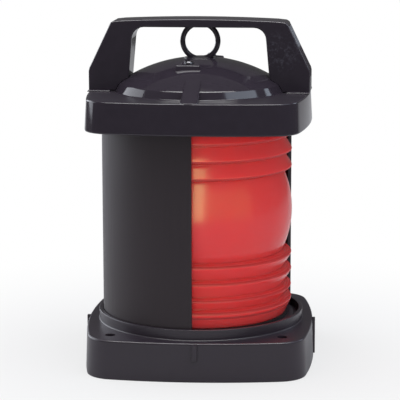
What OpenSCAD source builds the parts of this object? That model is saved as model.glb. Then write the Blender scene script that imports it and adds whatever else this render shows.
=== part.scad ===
// Side light for a ship: a drum lens between a square base and a square lifting head,
// with a black screen round it that leaves a window from dead ahead to abaft the beam.
// The front of the light, which faces dead ahead, looks along -Y. All sizes are in millimetres.

/* [Base] */
// Width of the base across its foot
base_w = 180; // [170:1:200]
// How much narrower the base is at its deck, by the draft of its sides
base_draft = 2; // [0:0.5:6]
// Height of the deck above the surface that the light is bolted to
base_h = 30.4; // [26:0.2:45]
// Radius of the base's upright corners
base_corner_r = 23; // [16:1:30]
// How far the middle of each side bows outwards
side_bow = 5; // [1:0.5:8]
// Thickness of the base's side walls
base_wall = 5; // [4:0.5:7]
// Thickness of the deck outside the collar
deck_t = 4; // [3:0.5:6]
// Size of the rounded edge round the deck
deck_edge = 1.4; // [0.6:0.2:3]
// Radius of the opening in the deck below the lamp
deck_hole_r = 44; // [36:1:46]
// Width of the raised lines in the middle of the base's sides
mark_w = 4.6; // [3:0.2:8]
// How far the raised lines stand out
mark_proud = 1.2; // [0.6:0.1:2]
// Height of the short line at the front and back
mark_h = 12.6; // [6:0.2:20]

/* [Fixing holes] */
// Distance between the corner fixing holes, centre to centre
fix_spacing = 132; // [124:1:136]
// Radius of the corner posts inside the base
post_r = 8.5; // [7.5:0.5:9]
// Outer radius of the metal bush in each corner post
bush_r = 5.5; // [5:0.25:6]
// Radius of the hole through each bush
bush_hole_r = 3.5; // [3:0.25:4]
// Radius of the hole in the deck above each bush
deck_bolt_r = 4; // [3.75:0.25:5]

/* [Collar] */
// Outer radius of the collar's lip
lip_r = 81; // [79:0.5:86]
// Height of the lip above the deck
lip_h = 8.2; // [7:0.2:12]
// Height of the lens seat above the deck
seat_h = 4; // [3:0.5:5]
// Depth of the groove that holds the light screen, below the lens seat
groove_d = 2; // [1:0.5:3]
// Radius of the hollow curve between the collar and the deck
collar_fillet = 5; // [2:0.5:6]

/* [Screen] */
// Outer radius of the light screen
screen_r = 77.6; // [76:0.2:80]
// Thickness of the screen
screen_t = 3; // [2:0.2:4]
// Where the window starts, in degrees from dead ahead
window_from = -1.9; // [-5:0.1:2]
// How wide the window is, in degrees
window_angle = 115; // [100:0.5:135]

/* [Lens] */
// Inner radius of the drum lens
lens_in_r = 61.5; // [59:0.5:63]
// Outer radius of the lens between its ribs
lens_root_r = 67.2; // [66:0.2:69]
// Outer radius of the lens over its ribs and its belly
lens_peak_r = 72.2; // [70:0.2:73.5]
// Height of the lens
lens_h = 164.3; // [150:1:180]
// Half the height of the belly in the middle
belly_half = 28; // [24:1:30]
// Distance from the middle to the first rib
first_rib = 34; // [32:0.5:36]
// Distance between the ribs
rib_pitch = 13.2; // [12:0.2:14]
// Number of ribs with the full pitch, above and below the belly
rib_count = 3; // [2:1:3]
// Distance from the last full rib to the end rib
end_rib_step = 9.6; // [8:0.2:11]
// Thickness of the rubber rings above and below the lens
ring_t = 2; // [1:0.5:3]

/* [Head] */
// Width of the head at its lower edge
head_w = 174.4; // [168:0.5:190]
// How much narrower the head is at its upper edge
head_draft = 2.6; // [0:0.2:5]
// Radius of the head's upright corners
head_corner_r = 22; // [15:0.5:28]
// How far the head's skirt reaches below the lens seat
head_skirt = 14.9; // [10:0.5:20]
// Height of the head's flat top above the lens seat
head_rise = 9.3; // [8:0.2:14]
// Thickness of the flat top
roof_t = 4.5; // [3.5:0.5:6]
// Thickness of the skirt
head_wall = 4; // [3:0.5:5]
// Height of the sloping edge round the flat top
head_edge = 1.5; // [0.6:0.1:3]
// How far the head was dragged round as its nut was tightened, in degrees
head_turn = -2.8; // [-6:0.2:6]

/* [Dome] */
// Height of the dome above the flat top
dome_h = 26; // [22:0.5:30]
// Radius of the dome's curve
dome_r = 112; // [106:0.5:124]
// Radius of the dome's foot
dome_foot_r = 67; // [65:0.5:69]
// Radius at which the dome's curve turns into its shoulder
shoulder_from = 63.2; // [58:0.2:64]
// Radius of the shoulder's rounding
shoulder_r = 2.5; // [2:0.5:4]
// Slope of the dome's flank below the shoulder, in degrees
shoulder_to = 60; // [50:1:75]
// Thickness of the dome
dome_t = 4; // [3:0.5:5]
// Width of the front and back ribs at their nose, at the edge of the flat top
rib_nose_w = 5.6; // [4:0.2:8]
// Width of the front and back ribs at their upper end, on the dome
rib_top_w = 11; // [6:0.5:14]
// Width of the front and back ribs at the flat top
rib_foot_w = 14; // [8:0.5:18]
// Distance from the axis to the ribs' upper ends
rib_end = 46; // [40:1:50]

/* [Handle] */
// Width of the handle across its feet
handle_w = 172.6; // [168:0.2:176]
// Thickness of the handle from front to back
handle_t = 28; // [27:0.5:34]
// Height of the handle's top above the flat top of the head
handle_h = 56.5; // [55.5:0.5:75]
// Thickness of the handle's bar at its front face
bar_h = 6.6; // [5:0.2:9]
// How much lower the ends of the bar are than its middle
bar_arch = 1.7; // [0.5:0.1:3]
// Half the width of the grip opening below the bar
grip_half = 52.2; // [48:0.5:54]
// How much wider the grip opening is at the head than below the bar, each side
grip_flare = 3.6; // [0:0.2:5]
// Radius of the grip opening's upper corners
grip_corner_r = 9.5; // [6:0.5:12]
// Thickness of the wall round the hollow below the bar
bar_wall = 2.3; // [2:0.1:2.4]
// Thickness of the flange below each foot
flange_t = 1.2; // [0.8:0.1:2]
// How far the flange reaches out in front of the foot and behind it
flange_out = 6.5; // [3:0.5:10]

/* [Ring nut] */
// Outer radius of the ring
ring_r = 15.8; // [14:0.1:15.9]
// Radius of the ring's round bar
ring_bar_r = 1.85; // [1.5:0.05:2.2]
// Radius of the nut's hub in the dome
hub_r = 13; // [12:0.5:14]
// Radius of the nut's flange below the dome
nut_flange_r = 18; // [16.5:0.5:20]
// Thickness of the nut's flange
nut_flange_t = 3; // [2:0.5:4]
// Length of the nut below its flange
nut_tail = 8; // [6:0.5:10]
// Radius of the centre stud
stud_r = 4; // [3:0.5:5]
// Pitch of the stud's thread
thread_pitch = 1.25; // [1:0.05:1.5]
// Turns of the nut that free the head
free_turns = 5; // [3:1:6]

/* [Retaining strap] */
// Direction of the strap inside the dome, in degrees from front to back
strap_turn = -11; // [-20:1:20]
// Distance from the axis to each strap screw
strap_reach = 30; // [28:0.5:33]
// Width of the strap
strap_w = 24; // [20:0.5:28]
// How far the strap runs on past each of its screws
strap_tip = 7.5; // [6.5:0.5:8]
// Thickness of the strap
strap_t = 3; // [2:0.5:4]

/* [Frame] */
// Direction of the line through both tie rods, in degrees from the side
rod_line = -33.75; // [-60:0.25:0]
// Distance from the axis to each tie rod
rod_reach = 52; // [50:0.5:54]
// Radius of a tie rod
rod_r = 3; // [2.5:0.25:4]
// Thickness of the bridge and of the lamp strap
bridge_t = 3; // [2:0.5:4]
// Width of the bridge and of the lamp strap
bridge_w = 20; // [18:1:26]
// Distance from the lens's upper end down to the bridge's top
bridge_drop = 7.7; // [7:0.1:12]

/* [Lamp] */
// Height of the filament above the middle of the lens
filament_up = 0; // [-2:0.5:2]
// Distance from the lamp's pins up to its filament
light_length = 54; // [50:0.5:60]
// Radius of the lamp's brass cap
cap_r = 11; // [10:0.1:11.4]
// Distance from the lamp's lower end up to its pins
pin_up = 6; // [5:0.25:7]
// Radius of each pin
pin_r = 1; // [0.8:0.05:1.1]
// Radius of the glass bulb
bulb_r = 24; // [18:0.5:28]
// Thickness of the glass
glass_t = 1; // [0.6:0.1:1.5]
// How far the sprung contacts move when the lamp is pushed in
press_travel = 1.5; // [0.5:0.1:2]
// How far the lamp turns in its holder, in degrees
lamp_turn = 20; // [12:1:30]

/* [Hidden] */
$fn = 96;

// Clearances
fit_gap = 0.4;       // loose fit between mouldings
part_gap = 0.3;      // space between pieces that move past each other
run_gap = 0.06;      // radial play of a thread or a sliding pin
cut = 1;             // how far a cutting shape runs past the solid it cuts

// How finely the bowed outlines and curves are drawn
side_steps = 8;
corner_steps = 8;
dome_steps = 14;
belly_steps = 12;

// Slices between which a moulded body is drawn in
band = 1;
thin_band = 0.3;

// Heights, from the foot upwards
seat_z = base_h + seat_h;
lip_z = base_h + lip_h;
groove_z = seat_z - groove_d;
lens_z = seat_z + ring_t;
lens_top = lens_z + lens_h;
lens_mid = lens_z + lens_h / 2;
head_seat = lens_top + ring_t;
head_z = head_seat - head_skirt;
head_top = head_seat + head_rise;
roof_z = head_top - roof_t;
dome_top = head_top + dome_h;
dome_c = dome_top - dome_r;
handle_top = head_top + handle_h;

// Corner posts and the marks on the sides
bush_h = base_h - deck_t;
mark_drop = 0.6;     // the marks end this far below the deck
mark_lift = 1;       // the marks on the left and right start this far above the foot

// Bottom cover
screw_head_t = 0.9;
cover_recess = 1;
cover_t = 3;
cover_in = cover_recess + cover_t;
gasket_t = 1;
rebate = 2;
ledge_z = cover_in + gasket_t;
cover_screw_at = 45;
cover_screw_r = 2;
cover_screw_head_r = 3.6;
cover_screw_len = 12;
cover_boss_r = 5;
grommet_y = -24;
grommet_hole_r = 4.5;
grommet_wall = 3;
grommet_lip = 2;
grommet_top = cover_in + 2.5;

// Collar and screen
groove_r = screen_r + fit_gap;
groove_in_r = screen_r - screen_t - fit_gap;
lip_edge = 0.8;
screen_in_head = 12.2;
screen_top = head_z + screen_in_head;

// Lens rings
ring_in_r = lens_in_r - 0.5;
ring_out_r = lens_root_r + 1.8;

// Head
head_guide_t = 2.8;
rib_root = 1;        // how deep the dome's ribs reach into the flat top
rib_rise = 0.3;      // height of their lower edge above it
rib_slice = 0.5;     // thickness of the slices that the ribs are drawn between
rib_nose = 5.5;      // length over which their noses widen
rib_sink = 0.5;      // how far their upper ends lie below the dome's curve
head_land_in = lens_in_r - 3.5;
head_land_out = ring_out_r + 2.6;
handle_screw_x = 77;
handle_screw_y = 6;
handle_screw_r = 2;
handle_screw_head_r = 4.3;
handle_screw_head_t = 3;
handle_screw_len = 17;

// Ring nut
hub_hole_r = hub_r + part_gap;
hub_top = dome_top - 0.3;
ring_c = hub_top + 0.5 + ring_r - 2 * ring_bar_r;
seal_t = 1.5;
nut_seat = dome_top - dome_t - 2.5;
flange_top = nut_seat - seal_t;
flange_low = flange_top - nut_flange_t;
nut_low = flange_low - nut_tail;
nut_bore_r = stud_r + run_gap;
lift = free_turns * thread_pitch;
stud_top = nut_low + lift;
strap_top = flange_low - part_gap;
strap_low = strap_top - strap_t;
pad_h = 2;
pad_edge = 1;
pad_outer_w = 20.5;
pad_inner_w = 11;
pad_outer_y = -8;
pad_inner_y = 5.5;
pad_tilt = asin(strap_reach / dome_r) / 2;
pad_z = dome_c + sqrt(dome_r * dome_r - strap_reach * strap_reach) + pad_h;
pad_root = 4;        // how deep each pad reaches into the dome
screw_seat_z = pad_z - 0.6;
strap_screw_r = 2;
strap_screw_head_r = 3.9;
strap_screw_head_t = 2.6;
strap_boss_r = 6;
strap_hole_r = 2 * stud_r + 2 * part_gap;

// Frame
bridge_top = lens_top - bridge_drop;
bridge_low = bridge_top - bridge_t;
lamp_strap_top = seat_z + bridge_t;
strap_end = rod_reach + 5.5;
rod_nut_t = 5;
rod_nut_r = 5.77;
stud_nut_t = 6.5;
stud_nut_r = 7.5;
rod_low = base_h - deck_t - rod_nut_t - 1.5;
rod_top = bridge_top + rod_nut_t + 1.5;

// Lamp and holder, downwards from the filament
filament_z = lens_mid + filament_up;
pin_z = filament_z - light_length;
lamp_z = pin_z - pin_up;
lamp_cap_h = 18;
contact_t = 1;
contact_x = 4.7;
contact_r = 2.4;
plunger_r = 2.5;
plunger_len = 6;
plunger_top = lamp_z - contact_t;
plunger_low = plunger_top - plunger_len;
spring_room = 4;
spring_wire = 0.7;
spring_r = 2.3;
spring_low = plunger_low - spring_room;
holder_top = lamp_z - press_travel - 1.5;
holder_floor = 2;
holder_low = spring_low - holder_floor;
shell_in_r = cap_r + part_gap;
shell_t = 1.3;
shell_top = pin_z + 6;
pin_reach = shell_in_r + shell_t + 0.9;   // the pins stand a little way out of the shell
slot_gap = 0.4;
pillar_r = 13;
pillar_hole_r = 8;
bulb_z = filament_z - 3;
neck_r = cap_r - 1.5;
cap_floor = 2;
glass_floor = 6;
stem_r = 3.2;
stem_low = lamp_z + cap_floor + glass_floor;
stem_top = bulb_z - bulb_r * 0.45;
lead_r = 0.4;
lead_x = 2.2;

// Terminals and wires
block_size = [34, 16, 12];
block_y = 26;
terminal_x = 9;
terminal_screw_r = 3;
terminal_screw_len = 4.5;
terminal_well = 6;
entry_up = 4;
wire_r = 1.2;
wire_sides = 8;

// Outlines
function turned(p, a) = [p[0] * cos(a) - p[1] * sin(a), p[0] * sin(a) + p[1] * cos(a)];
function arc(cx, cy, r, from, to, steps) =
    [for (i = [0:steps]) let (a = from + (to - from) * i / steps) [cx + r * cos(a), cy + r * sin(a)]];
function inner_points(p) = [for (i = [1:len(p) - 2]) p[i]];

// A square with bowed sides: each side is a flat arc that runs smoothly into its round corners
function bowed_square(half, bow, r) =
    let (reach = half - bow - r)
    let (side_r = (reach * reach + bow * bow) / (2 * bow))
    let (side_c = half - side_r)
    let (corner_c = (side_c + sqrt(2 * (side_r - r) * (side_r - r) - side_c * side_c)) / 2)
    let (meet = atan2(corner_c, corner_c - side_c))
    let (side = arc(side_c, 0, side_r, -meet, meet, side_steps))
    let (corner = arc(corner_c, corner_c, r, meet, 90 - meet, corner_steps))
    [for (k = [0:3]) for (p = concat(side, inner_points(corner))) turned(p, 90 * k)];

// How far such a square reaches at its corners
function corner_reach(half, r) = max([for (p = bowed_square(half, side_bow, r)) norm(p)]);

// A flat slab with the outline of a square with bowed sides
module slab(half, z, t, r) {
    translate([0, 0, z])
        linear_extrude(t)
            polygon(bowed_square(half, side_bow, r));
}

// A square body with bowed sides that its draft draws in, with a sloping edge at its top
module moulded_body(half, draft, low, high, edge, r) {
    top_half = half - draft / 2;
    hull() {
        slab(half, low, band, r);
        slab(top_half, high - edge - band, band, r);
        slab(top_half - edge, high - thin_band, thin_band, r - edge);
    }
}

// A washer or a short tube, from its inner and outer radius
module washer(inner, outer, z, t) {
    translate([0, 0, z])
        difference() {
            cylinder(r = outer, h = t);
            translate([0, 0, -cut])
                cylinder(r = inner, h = t + 2 * cut);
        }
}

// The four corners of a square pattern
module corners(at) {
    for (x = [-1, 1], y = [-1, 1])
        translate([x * at, y * at, 0])
            children();
}

// Both tie rods' places
module at_rods() {
    for (side = [0, 180])
        rotate([0, 0, rod_line + side])
            translate([rod_reach, 0, 0])
                children();
}

// Both strap screws' places
module at_strap_ends() {
    for (side = [0, 180])
        rotate([0, 0, strap_turn + side])
            translate([0, -strap_reach, 0])
                children();
}

// All four handle screws' places
module at_handle_screws() {
    for (x = [-1, 1], y = [-1, 1])
        translate([x * handle_screw_x, y * handle_screw_y, 0])
            children();
}

// What belongs to the head is turned with it
module head_frame() {
    rotate([0, 0, head_turn])
        children();
}

// A hexagon nut with a thread hole
module hex_nut(r, t, hole_r, z) {
    translate([0, 0, z])
        difference() {
            cylinder(r = r, h = t, $fn = 6);
            translate([0, 0, -cut])
                cylinder(r = hole_r + run_gap, h = t + 2 * cut);
        }
}

// A strap from rod to rod, with rounded ends
module rod_strap(z, t) {
    translate([0, 0, z])
        rotate([0, 0, rod_line])
            intersection() {
                translate([-strap_end, -bridge_w / 2, 0])
                    cube([2 * strap_end, bridge_w, t]);
                cylinder(r = strap_end, h = t);
            }
}

// Base
// What clears a corner post, or what is drilled in it, up to a height
module post_hole(r, top) {
    corners(fix_spacing / 2)
        translate([0, 0, -cut])
            cylinder(r = r, h = top + cut);
}

module base_outer() {
    moulded_body(base_w / 2, base_draft, 0, base_h, deck_edge, base_corner_r);
}

module collar() {
    rotate_extrude()
        polygon(concat(
            [[0, base_h - deck_t], [lip_r + collar_fillet, base_h - deck_t]],
            arc(lip_r + collar_fillet, base_h + collar_fillet, collar_fillet, 270, 180, 6),
            [[lip_r, lip_z - lip_edge], [lip_r - lip_edge, lip_z], [0, lip_z]]));
}

// The well above the lens seat, the screen's groove round it and the opening in the deck
module collar_cuts() {
    translate([0, 0, seat_z])
        cylinder(r = groove_r, h = lip_h + cut);
    difference() {
        translate([0, 0, groove_z])
            cylinder(r = groove_r, h = groove_d + cut);
        translate([0, 0, groove_z - cut])
            cylinder(r = groove_in_r, h = groove_d + 3 * cut);
    }
    translate([0, 0, -cut])
        cylinder(r = deck_hole_r, h = lip_z + 2 * cut);
}

module side_marks() {
    half = base_w / 2;
    for (a = [0, 180])
        rotate([0, 0, a])
            translate([-mark_w / 2, -half - mark_proud, base_h - mark_drop - mark_h])
                cube([mark_w, mark_proud + base_wall / 2, mark_h]);
    for (a = [90, 270])
        rotate([0, 0, a])
            translate([-mark_w / 2, -half - mark_proud, mark_lift])
                cube([mark_w, mark_proud + base_wall / 2, base_h - mark_drop - mark_lift]);
}

module base_housing() {
    half = base_w / 2;
    color("#26262a")
        difference() {
            union() {
                difference() {
                    union() {
                        base_outer();
                        side_marks();
                        collar();
                    }
                    slab(half - base_wall, -cut, base_h - deck_t + cut, base_corner_r - base_wall / 2);
                    slab(half - base_wall + rebate, -cut, ledge_z + cut, base_corner_r - base_wall / 2 + rebate / 2);
                }
                corners(fix_spacing / 2)
                    cylinder(r = post_r, h = base_h - deck_t / 2);
                corners(cover_screw_at)
                    translate([0, 0, cover_in])
                        cylinder(r = cover_boss_r, h = base_h - deck_t / 2 - cover_in);
            }
            collar_cuts();
            post_hole(bush_r, bush_h);
            post_hole(deck_bolt_r, base_h + cut);
            corners(cover_screw_at)
                translate([0, 0, cover_in - cut])
                    cylinder(r = cover_screw_r + run_gap, h = cover_screw_len - cover_t + 2 * cut);
            at_rods()
                translate([0, 0, -cut])
                    cylinder(r = rod_r + part_gap, h = seat_z + 2 * cut);
        }
}

module mount_bushes() {
    color("#b08d3c")
        corners(fix_spacing / 2)
            washer(bush_hole_r, bush_r, 0, bush_h);
}

module bottom_cover() {
    half = base_w / 2 - base_wall + rebate - fit_gap;
    color("#2e2e31")
        difference() {
            slab(half, cover_recess, cover_t, base_corner_r - base_wall / 2 + rebate / 2 - fit_gap / 2);
            post_hole(post_r + fit_gap, cover_in + cut);
            corners(cover_screw_at)
                translate([0, 0, -cut])
                    cylinder(r = cover_screw_r + part_gap, h = cover_in + 2 * cut);
            translate([0, grommet_y, -cut])
                cylinder(r = grommet_hole_r + grommet_wall, h = cover_in + 2 * cut);
        }
}

module cover_gasket() {
    half = base_w / 2 - base_wall;
    inner_r = base_corner_r - base_wall / 2;
    clear_r = post_r + fit_gap;
    // where the corner posts stand in its way, the gasket runs round them
    meets_posts = norm([fix_spacing, fix_spacing]) / 2 + clear_r > corner_reach(half, inner_r);
    color("#101010")
        difference() {
            slab(half + rebate - fit_gap, cover_in, gasket_t, inner_r + rebate / 2);
            difference() {
                slab(half, cover_in - cut, gasket_t + 2 * cut, inner_r);
                if (meets_posts)
                    post_hole(clear_r + rebate, ledge_z + 2 * cut);
            }
            post_hole(clear_r, ledge_z + cut);
        }
}

module cover_screws() {
    color("#b9bcc0")
        corners(cover_screw_at) {
            translate([0, 0, cover_recess - screw_head_t])
                cylinder(r = cover_screw_head_r, h = screw_head_t);
            translate([0, 0, cover_recess])
                cylinder(r = cover_screw_r, h = cover_screw_len);
        }
}

module cable_grommet() {
    outer = grommet_hole_r + grommet_wall;
    color("#151515")
        translate([0, grommet_y, 0])
            difference() {
                union() {
                    translate([0, 0, cover_recess])
                        cylinder(r = outer, h = cover_t);
                    translate([0, 0, cover_recess - screw_head_t])
                        cylinder(r = outer + grommet_lip, h = screw_head_t);
                    translate([0, 0, cover_in])
                        cylinder(r = outer + grommet_lip, h = grommet_top - cover_in);
                }
                translate([0, 0, -cut])
                    cylinder(r = grommet_hole_r, h = grommet_top + 2 * cut);
            }
}

// Lens
module lens_ring(z) {
    washer(ring_in_r, ring_out_r, z, ring_t);
}

module lower_lens_ring() {
    color("#151515")
        lens_ring(seat_z);
}

// Half the lens's outer profile, as distances from the middle and radii, from the belly outwards
function belly_points() =
    let (sag = lens_peak_r - lens_root_r + 1.2)
    let (r = (belly_half * belly_half + sag * sag) / (2 * sag))
    [for (i = [0:belly_steps]) let (h = belly_half * i / belly_steps)
        [lens_peak_r - r + sqrt(r * r - h * h), h]];
function rib_points() =
    [for (k = [0:rib_count]) let (h = first_rib + rib_pitch * min(k, rib_count - 1)
        + (k == rib_count ? end_rib_step : 0)) each [[lens_root_r, h - rib_pitch * 0.33], [lens_peak_r, h]]];
function half_profile() = concat(belly_points(), rib_points());

module drum_lens() {
    upper = half_profile();
    up = [for (p = upper) [p[0], lens_mid + p[1]]];
    down = [for (i = [len(upper) - 1:-1:0]) [upper[i][0], lens_mid - upper[i][1]]];
    color("#c9141c", 0.85)
        rotate_extrude()
            polygon(concat(
                [[lens_in_r, lens_top], [lens_in_r, lens_z], [lens_root_r, lens_z]],
                down, up, [[lens_root_r, lens_top]]));
}

module light_screen() {
    gap_start = -90 + window_from;
    color("#1b1b1e")
        rotate([0, 0, gap_start + window_angle])
            rotate_extrude(angle = 360 - window_angle)
                translate([screen_r - screen_t, groove_z])
                    square([screen_t, screen_top - groove_z]);
}

// Frame inside the lens
module tie_rods() {
    color("#b9bcc0")
        at_rods()
            translate([0, 0, rod_low])
                cylinder(r = rod_r, h = rod_top - rod_low);
}

module rod_nuts() {
    color("#a5a8ac")
        at_rods() {
            hex_nut(rod_nut_r, rod_nut_t, rod_r, base_h - deck_t - rod_nut_t);
            hex_nut(rod_nut_r, rod_nut_t, rod_r, lamp_strap_top);
            hex_nut(rod_nut_r, rod_nut_t, rod_r, bridge_low - rod_nut_t);
            hex_nut(rod_nut_r, rod_nut_t, rod_r, bridge_top);
        }
}

module lamp_strap() {
    color("#a5a8ac")
        difference() {
            rod_strap(seat_z, bridge_t);
            at_rods()
                translate([0, 0, seat_z - cut])
                    cylinder(r = rod_r + part_gap, h = bridge_t + 2 * cut);
            translate([0, 0, seat_z - cut])
                cylinder(r = pillar_hole_r, h = bridge_t + 2 * cut);
        }
}

module holder_pillar() {
    color("#8e9196")
        washer(pillar_hole_r, pillar_r, lamp_strap_top, holder_low - lamp_strap_top);
}

module holder_body() {
    color("#3a2a20")
        difference() {
            union() {
                translate([0, 0, holder_low])
                    cylinder(r = pillar_r, h = holder_floor);
                translate([0, 0, holder_low])
                    cylinder(r = shell_in_r - run_gap, h = holder_top - holder_low);
            }
            for (x = [-1, 1])
                translate([x * contact_x, 0, spring_low])
                    cylinder(r = plunger_r + run_gap, h = holder_top - spring_low + cut);
            for (x = [-1, 1])
                translate([x * contact_x, 0, holder_low - cut])
                    cylinder(r = wire_r + part_gap, h = spring_low - holder_low + 2 * cut);
        }
}

module holder_shell() {
    shell_low = holder_low + holder_floor;
    slot_low = pin_z - press_travel - pin_r - slot_gap;
    slot_w = 2 * (pin_r + slot_gap);
    slot_end = asin((pin_r + slot_gap) / shell_in_r);
    color("#b08d3c")
        difference() {
            washer(shell_in_r, shell_in_r + shell_t, shell_low, shell_top - shell_low);
            for (side = [0, 180])
                rotate([0, 0, side]) {
                    // way in, from the holder's mouth
                    rotate([0, 0, lamp_turn])
                        translate([shell_in_r - cut, -slot_w / 2, slot_low])
                            cube([shell_t + 2 * cut, slot_w, shell_top - slot_low + cut]);
                    // leg along which the pin turns
                    rotate([0, 0, -slot_end])
                        rotate_extrude(angle = lamp_turn + slot_end)
                            translate([shell_in_r - cut, slot_low])
                                square([shell_t + 2 * cut, press_travel + 2 * (pin_r + slot_gap)]);
                }
        }
}

module contact_plungers() {
    color("#c9a24a")
        for (x = [-1, 1])
            translate([x * contact_x, 0, plunger_low])
                cylinder(r = plunger_r, h = plunger_len);
}

module contact_springs() {
    color("#a5a8ac")
        for (x = [-1, 1])
            translate([x * contact_x, 0, 0])
                washer(spring_r - spring_wire, spring_r, spring_low, spring_room);
}

// Lamp
module lamp_cap() {
    color("#c9a24a")
        difference() {
            union() {
                translate([0, 0, lamp_z])
                    cylinder(r = cap_r, h = lamp_cap_h);
                for (side = [0, 180])
                    rotate([0, 0, side])
                        translate([cap_r - cut, 0, pin_z])
                            rotate([0, 90, 0])
                                cylinder(r = pin_r, h = pin_reach - cap_r + cut, $fn = 32);
            }
            translate([0, 0, lamp_z + cap_floor])
                cylinder(r = neck_r + part_gap, h = lamp_cap_h);
        }
}

module lamp_contacts() {
    color("#b9bcc0")
        for (x = [-1, 1])
            translate([x * contact_x, 0, lamp_z - contact_t])
                cylinder(r = contact_r, h = contact_t);
}

// Outer profile of the bulb: neck, then the round part up to its pole
function bulb_profile(r, neck) =
    let (from = -90 + asin(neck / r))
    arc(0, bulb_z, r, from, 90, 20);

module lamp_glass() {
    foot = lamp_z + cap_floor;
    inner_r = bulb_r - glass_t;
    inner_neck = neck_r - glass_t;
    color("#e8eef0", 0.35)
        rotate_extrude()
            difference() {
                polygon(concat([[0, foot], [neck_r, foot]], bulb_profile(bulb_r, neck_r)));
                polygon(concat([[0, stem_low], [inner_neck, stem_low]], bulb_profile(inner_r, inner_neck)));
            }
}

module lamp_stem() {
    color("#e8eef0", 0.5)
        difference() {
            translate([0, 0, stem_low])
                cylinder(r = stem_r, h = stem_top - stem_low);
            for (side = [-1, 1])
                translate([side * lead_x, 0, stem_low - cut])
                    cylinder(r = lead_r + run_gap, h = stem_top - stem_low + 2 * cut);
        }
}

module lamp_filament() {
    coil_half = 6;
    coil_r = 0.8;
    color("#8e9196") {
        translate([0, 0, filament_z - coil_half])
            cylinder(r = coil_r, h = 2 * coil_half, $fn = 24);
        for (end = [[-1, filament_z - coil_half + 1], [1, filament_z + coil_half - 1]]) {
            translate([end[0] * lead_x, 0, stem_low])
                cylinder(r = lead_r, h = end[1] - stem_low + lead_r, $fn = 16);
            translate([0, 0, end[1]])
                rotate([0, 90 * end[0], 0])
                    cylinder(r = lead_r, h = lead_x, $fn = 16);
        }
    }
}

// Terminals
module terminal_block() {
    color("#d8d2c0")
        difference() {
            translate([-block_size[0] / 2, block_y - block_size[1] / 2, cover_in])
                cube(block_size);
            for (x = [-1, 1])
                translate([x * terminal_x, block_y, cover_in + block_size[2] - terminal_well])
                    cylinder(r = terminal_screw_r + run_gap, h = terminal_well + cut);
            for (x = [-1, 1])
                translate([x * terminal_x, block_y - block_size[1] / 2 - cut, cover_in + entry_up])
                    rotate([-90, 0, 0])
                        cylinder(r = wire_r + part_gap, h = block_size[1] / 2 + cut);
        }
}

module terminal_screws() {
    color("#c9a24a")
        for (x = [-1, 1])
            translate([x * terminal_x, block_y, cover_in + block_size[2] - terminal_well])
                cylinder(r = terminal_screw_r, h = terminal_screw_len);
}

// A round wire swept along a line of points that rises from first to last
function unit(v) = v / norm(v);
function heading(p, i) = unit(p[min(i + 1, len(p) - 1)] - p[max(i - 1, 0)]);
function ring_of(p, i, r, n) =
    let (t = heading(p, i), u = unit(cross(t, [1, 0, 0])), w = cross(t, u))
    [for (k = [0:n - 1]) p[i] + r * (cos(360 * k / n) * u + sin(360 * k / n) * w)];
module swept_wire(p, r, n) {
    last = len(p) - 1;
    points = [for (i = [0:last]) each ring_of(p, i, r, n)];
    walls = [for (i = [0:last - 1], k = [0:n - 1])
        [i * n + k, i * n + (k + 1) % n, (i + 1) * n + (k + 1) % n, (i + 1) * n + k]];
    ends = [[for (k = [n - 1:-1:0]) k], [for (k = [0:n - 1]) last * n + k]];
    polyhedron(points, concat(walls, ends));
}

function wire_path(side) =
    let (front = block_y - block_size[1] / 2, low = cover_in + entry_up)
    [for (p = [[terminal_x, front + 3, low], [terminal_x, front - 1, low], [terminal_x, front - 5, low + 1],
               [8.6, front - 9, low + 4], [7.6, 6, low + 10], [6.4, 3, low + 16], [5.4, 1, low + 22],
               [contact_x, 0, seat_z], [contact_x, 0, holder_low + 1.5]]) [side * p[0], p[1], p[2]]];

module feed_wires() {
    color("#7a1f1c")
        for (side = [-1, 1])
            swept_wire(wire_path(side), wire_r, wire_sides);
}

// Bridge above the lamp
module bridge() {
    color("#a5a8ac")
        difference() {
            rod_strap(bridge_low, bridge_t);
            at_rods()
                translate([0, 0, bridge_low - cut])
                    cylinder(r = rod_r + part_gap, h = bridge_t + 2 * cut);
            translate([0, 0, bridge_low - cut])
                cylinder(r = stud_r + part_gap, h = bridge_t + 2 * cut);
        }
}

module centre_stud() {
    stud_low = bridge_low - stud_nut_t - 2;
    color("#b9bcc0")
        translate([0, 0, stud_low])
            cylinder(r = stud_r, h = stud_top - stud_low);
}

module stud_nuts() {
    color("#a5a8ac") {
        hex_nut(stud_nut_r, stud_nut_t, stud_r, bridge_low - stud_nut_t);
        hex_nut(stud_nut_r, stud_nut_t, stud_r, bridge_top);
    }
}

// Head
// The dome's outer profile from its pole out to its foot, grown by a gap
function dome_profile(gap) =
    let (turn = asin(shoulder_from / dome_r))
    let (sx = shoulder_from - shoulder_r * sin(turn), sz = dome_c + dome_r * cos(turn) - shoulder_r * cos(turn))
    concat(
        arc(0, dome_c, dome_r + gap, 90, 90 - turn, dome_steps),
        arc(sx, sz, shoulder_r + gap, 90 - turn, 90 - shoulder_to, 8),
        [[dome_foot_r + gap, head_top]]);

module dome_solid(gap) {
    rotate_extrude()
        polygon(concat([[0, head_top - roof_t]], dome_profile(gap), [[dome_foot_r + gap, head_top - roof_t]]));
}

module head_outer() {
    moulded_body(head_w / 2, head_draft, head_z, head_top, head_edge, head_corner_r);
}

// The rib that runs from the head's front wall up on to the dome
module dome_rib() {
    front = (head_w - head_draft) / 2 - 0.2;
    low = head_top - rib_root;
    ridge_z = dome_c + sqrt(dome_r * dome_r - rib_end * rib_end) - rib_sink;
    hull() {
        translate([-rib_nose_w / 2, -front, low])
            cube([rib_nose_w, rib_slice, rib_root + rib_rise]);
        translate([-rib_foot_w / 2, -front + rib_nose, low])
            cube([rib_foot_w, front - rib_nose - rib_end, rib_root + rib_rise]);
        translate([-rib_top_w / 2, -rib_end - rib_slice, low])
            cube([rib_top_w, rib_slice, ridge_z - low]);
    }
}

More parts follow.
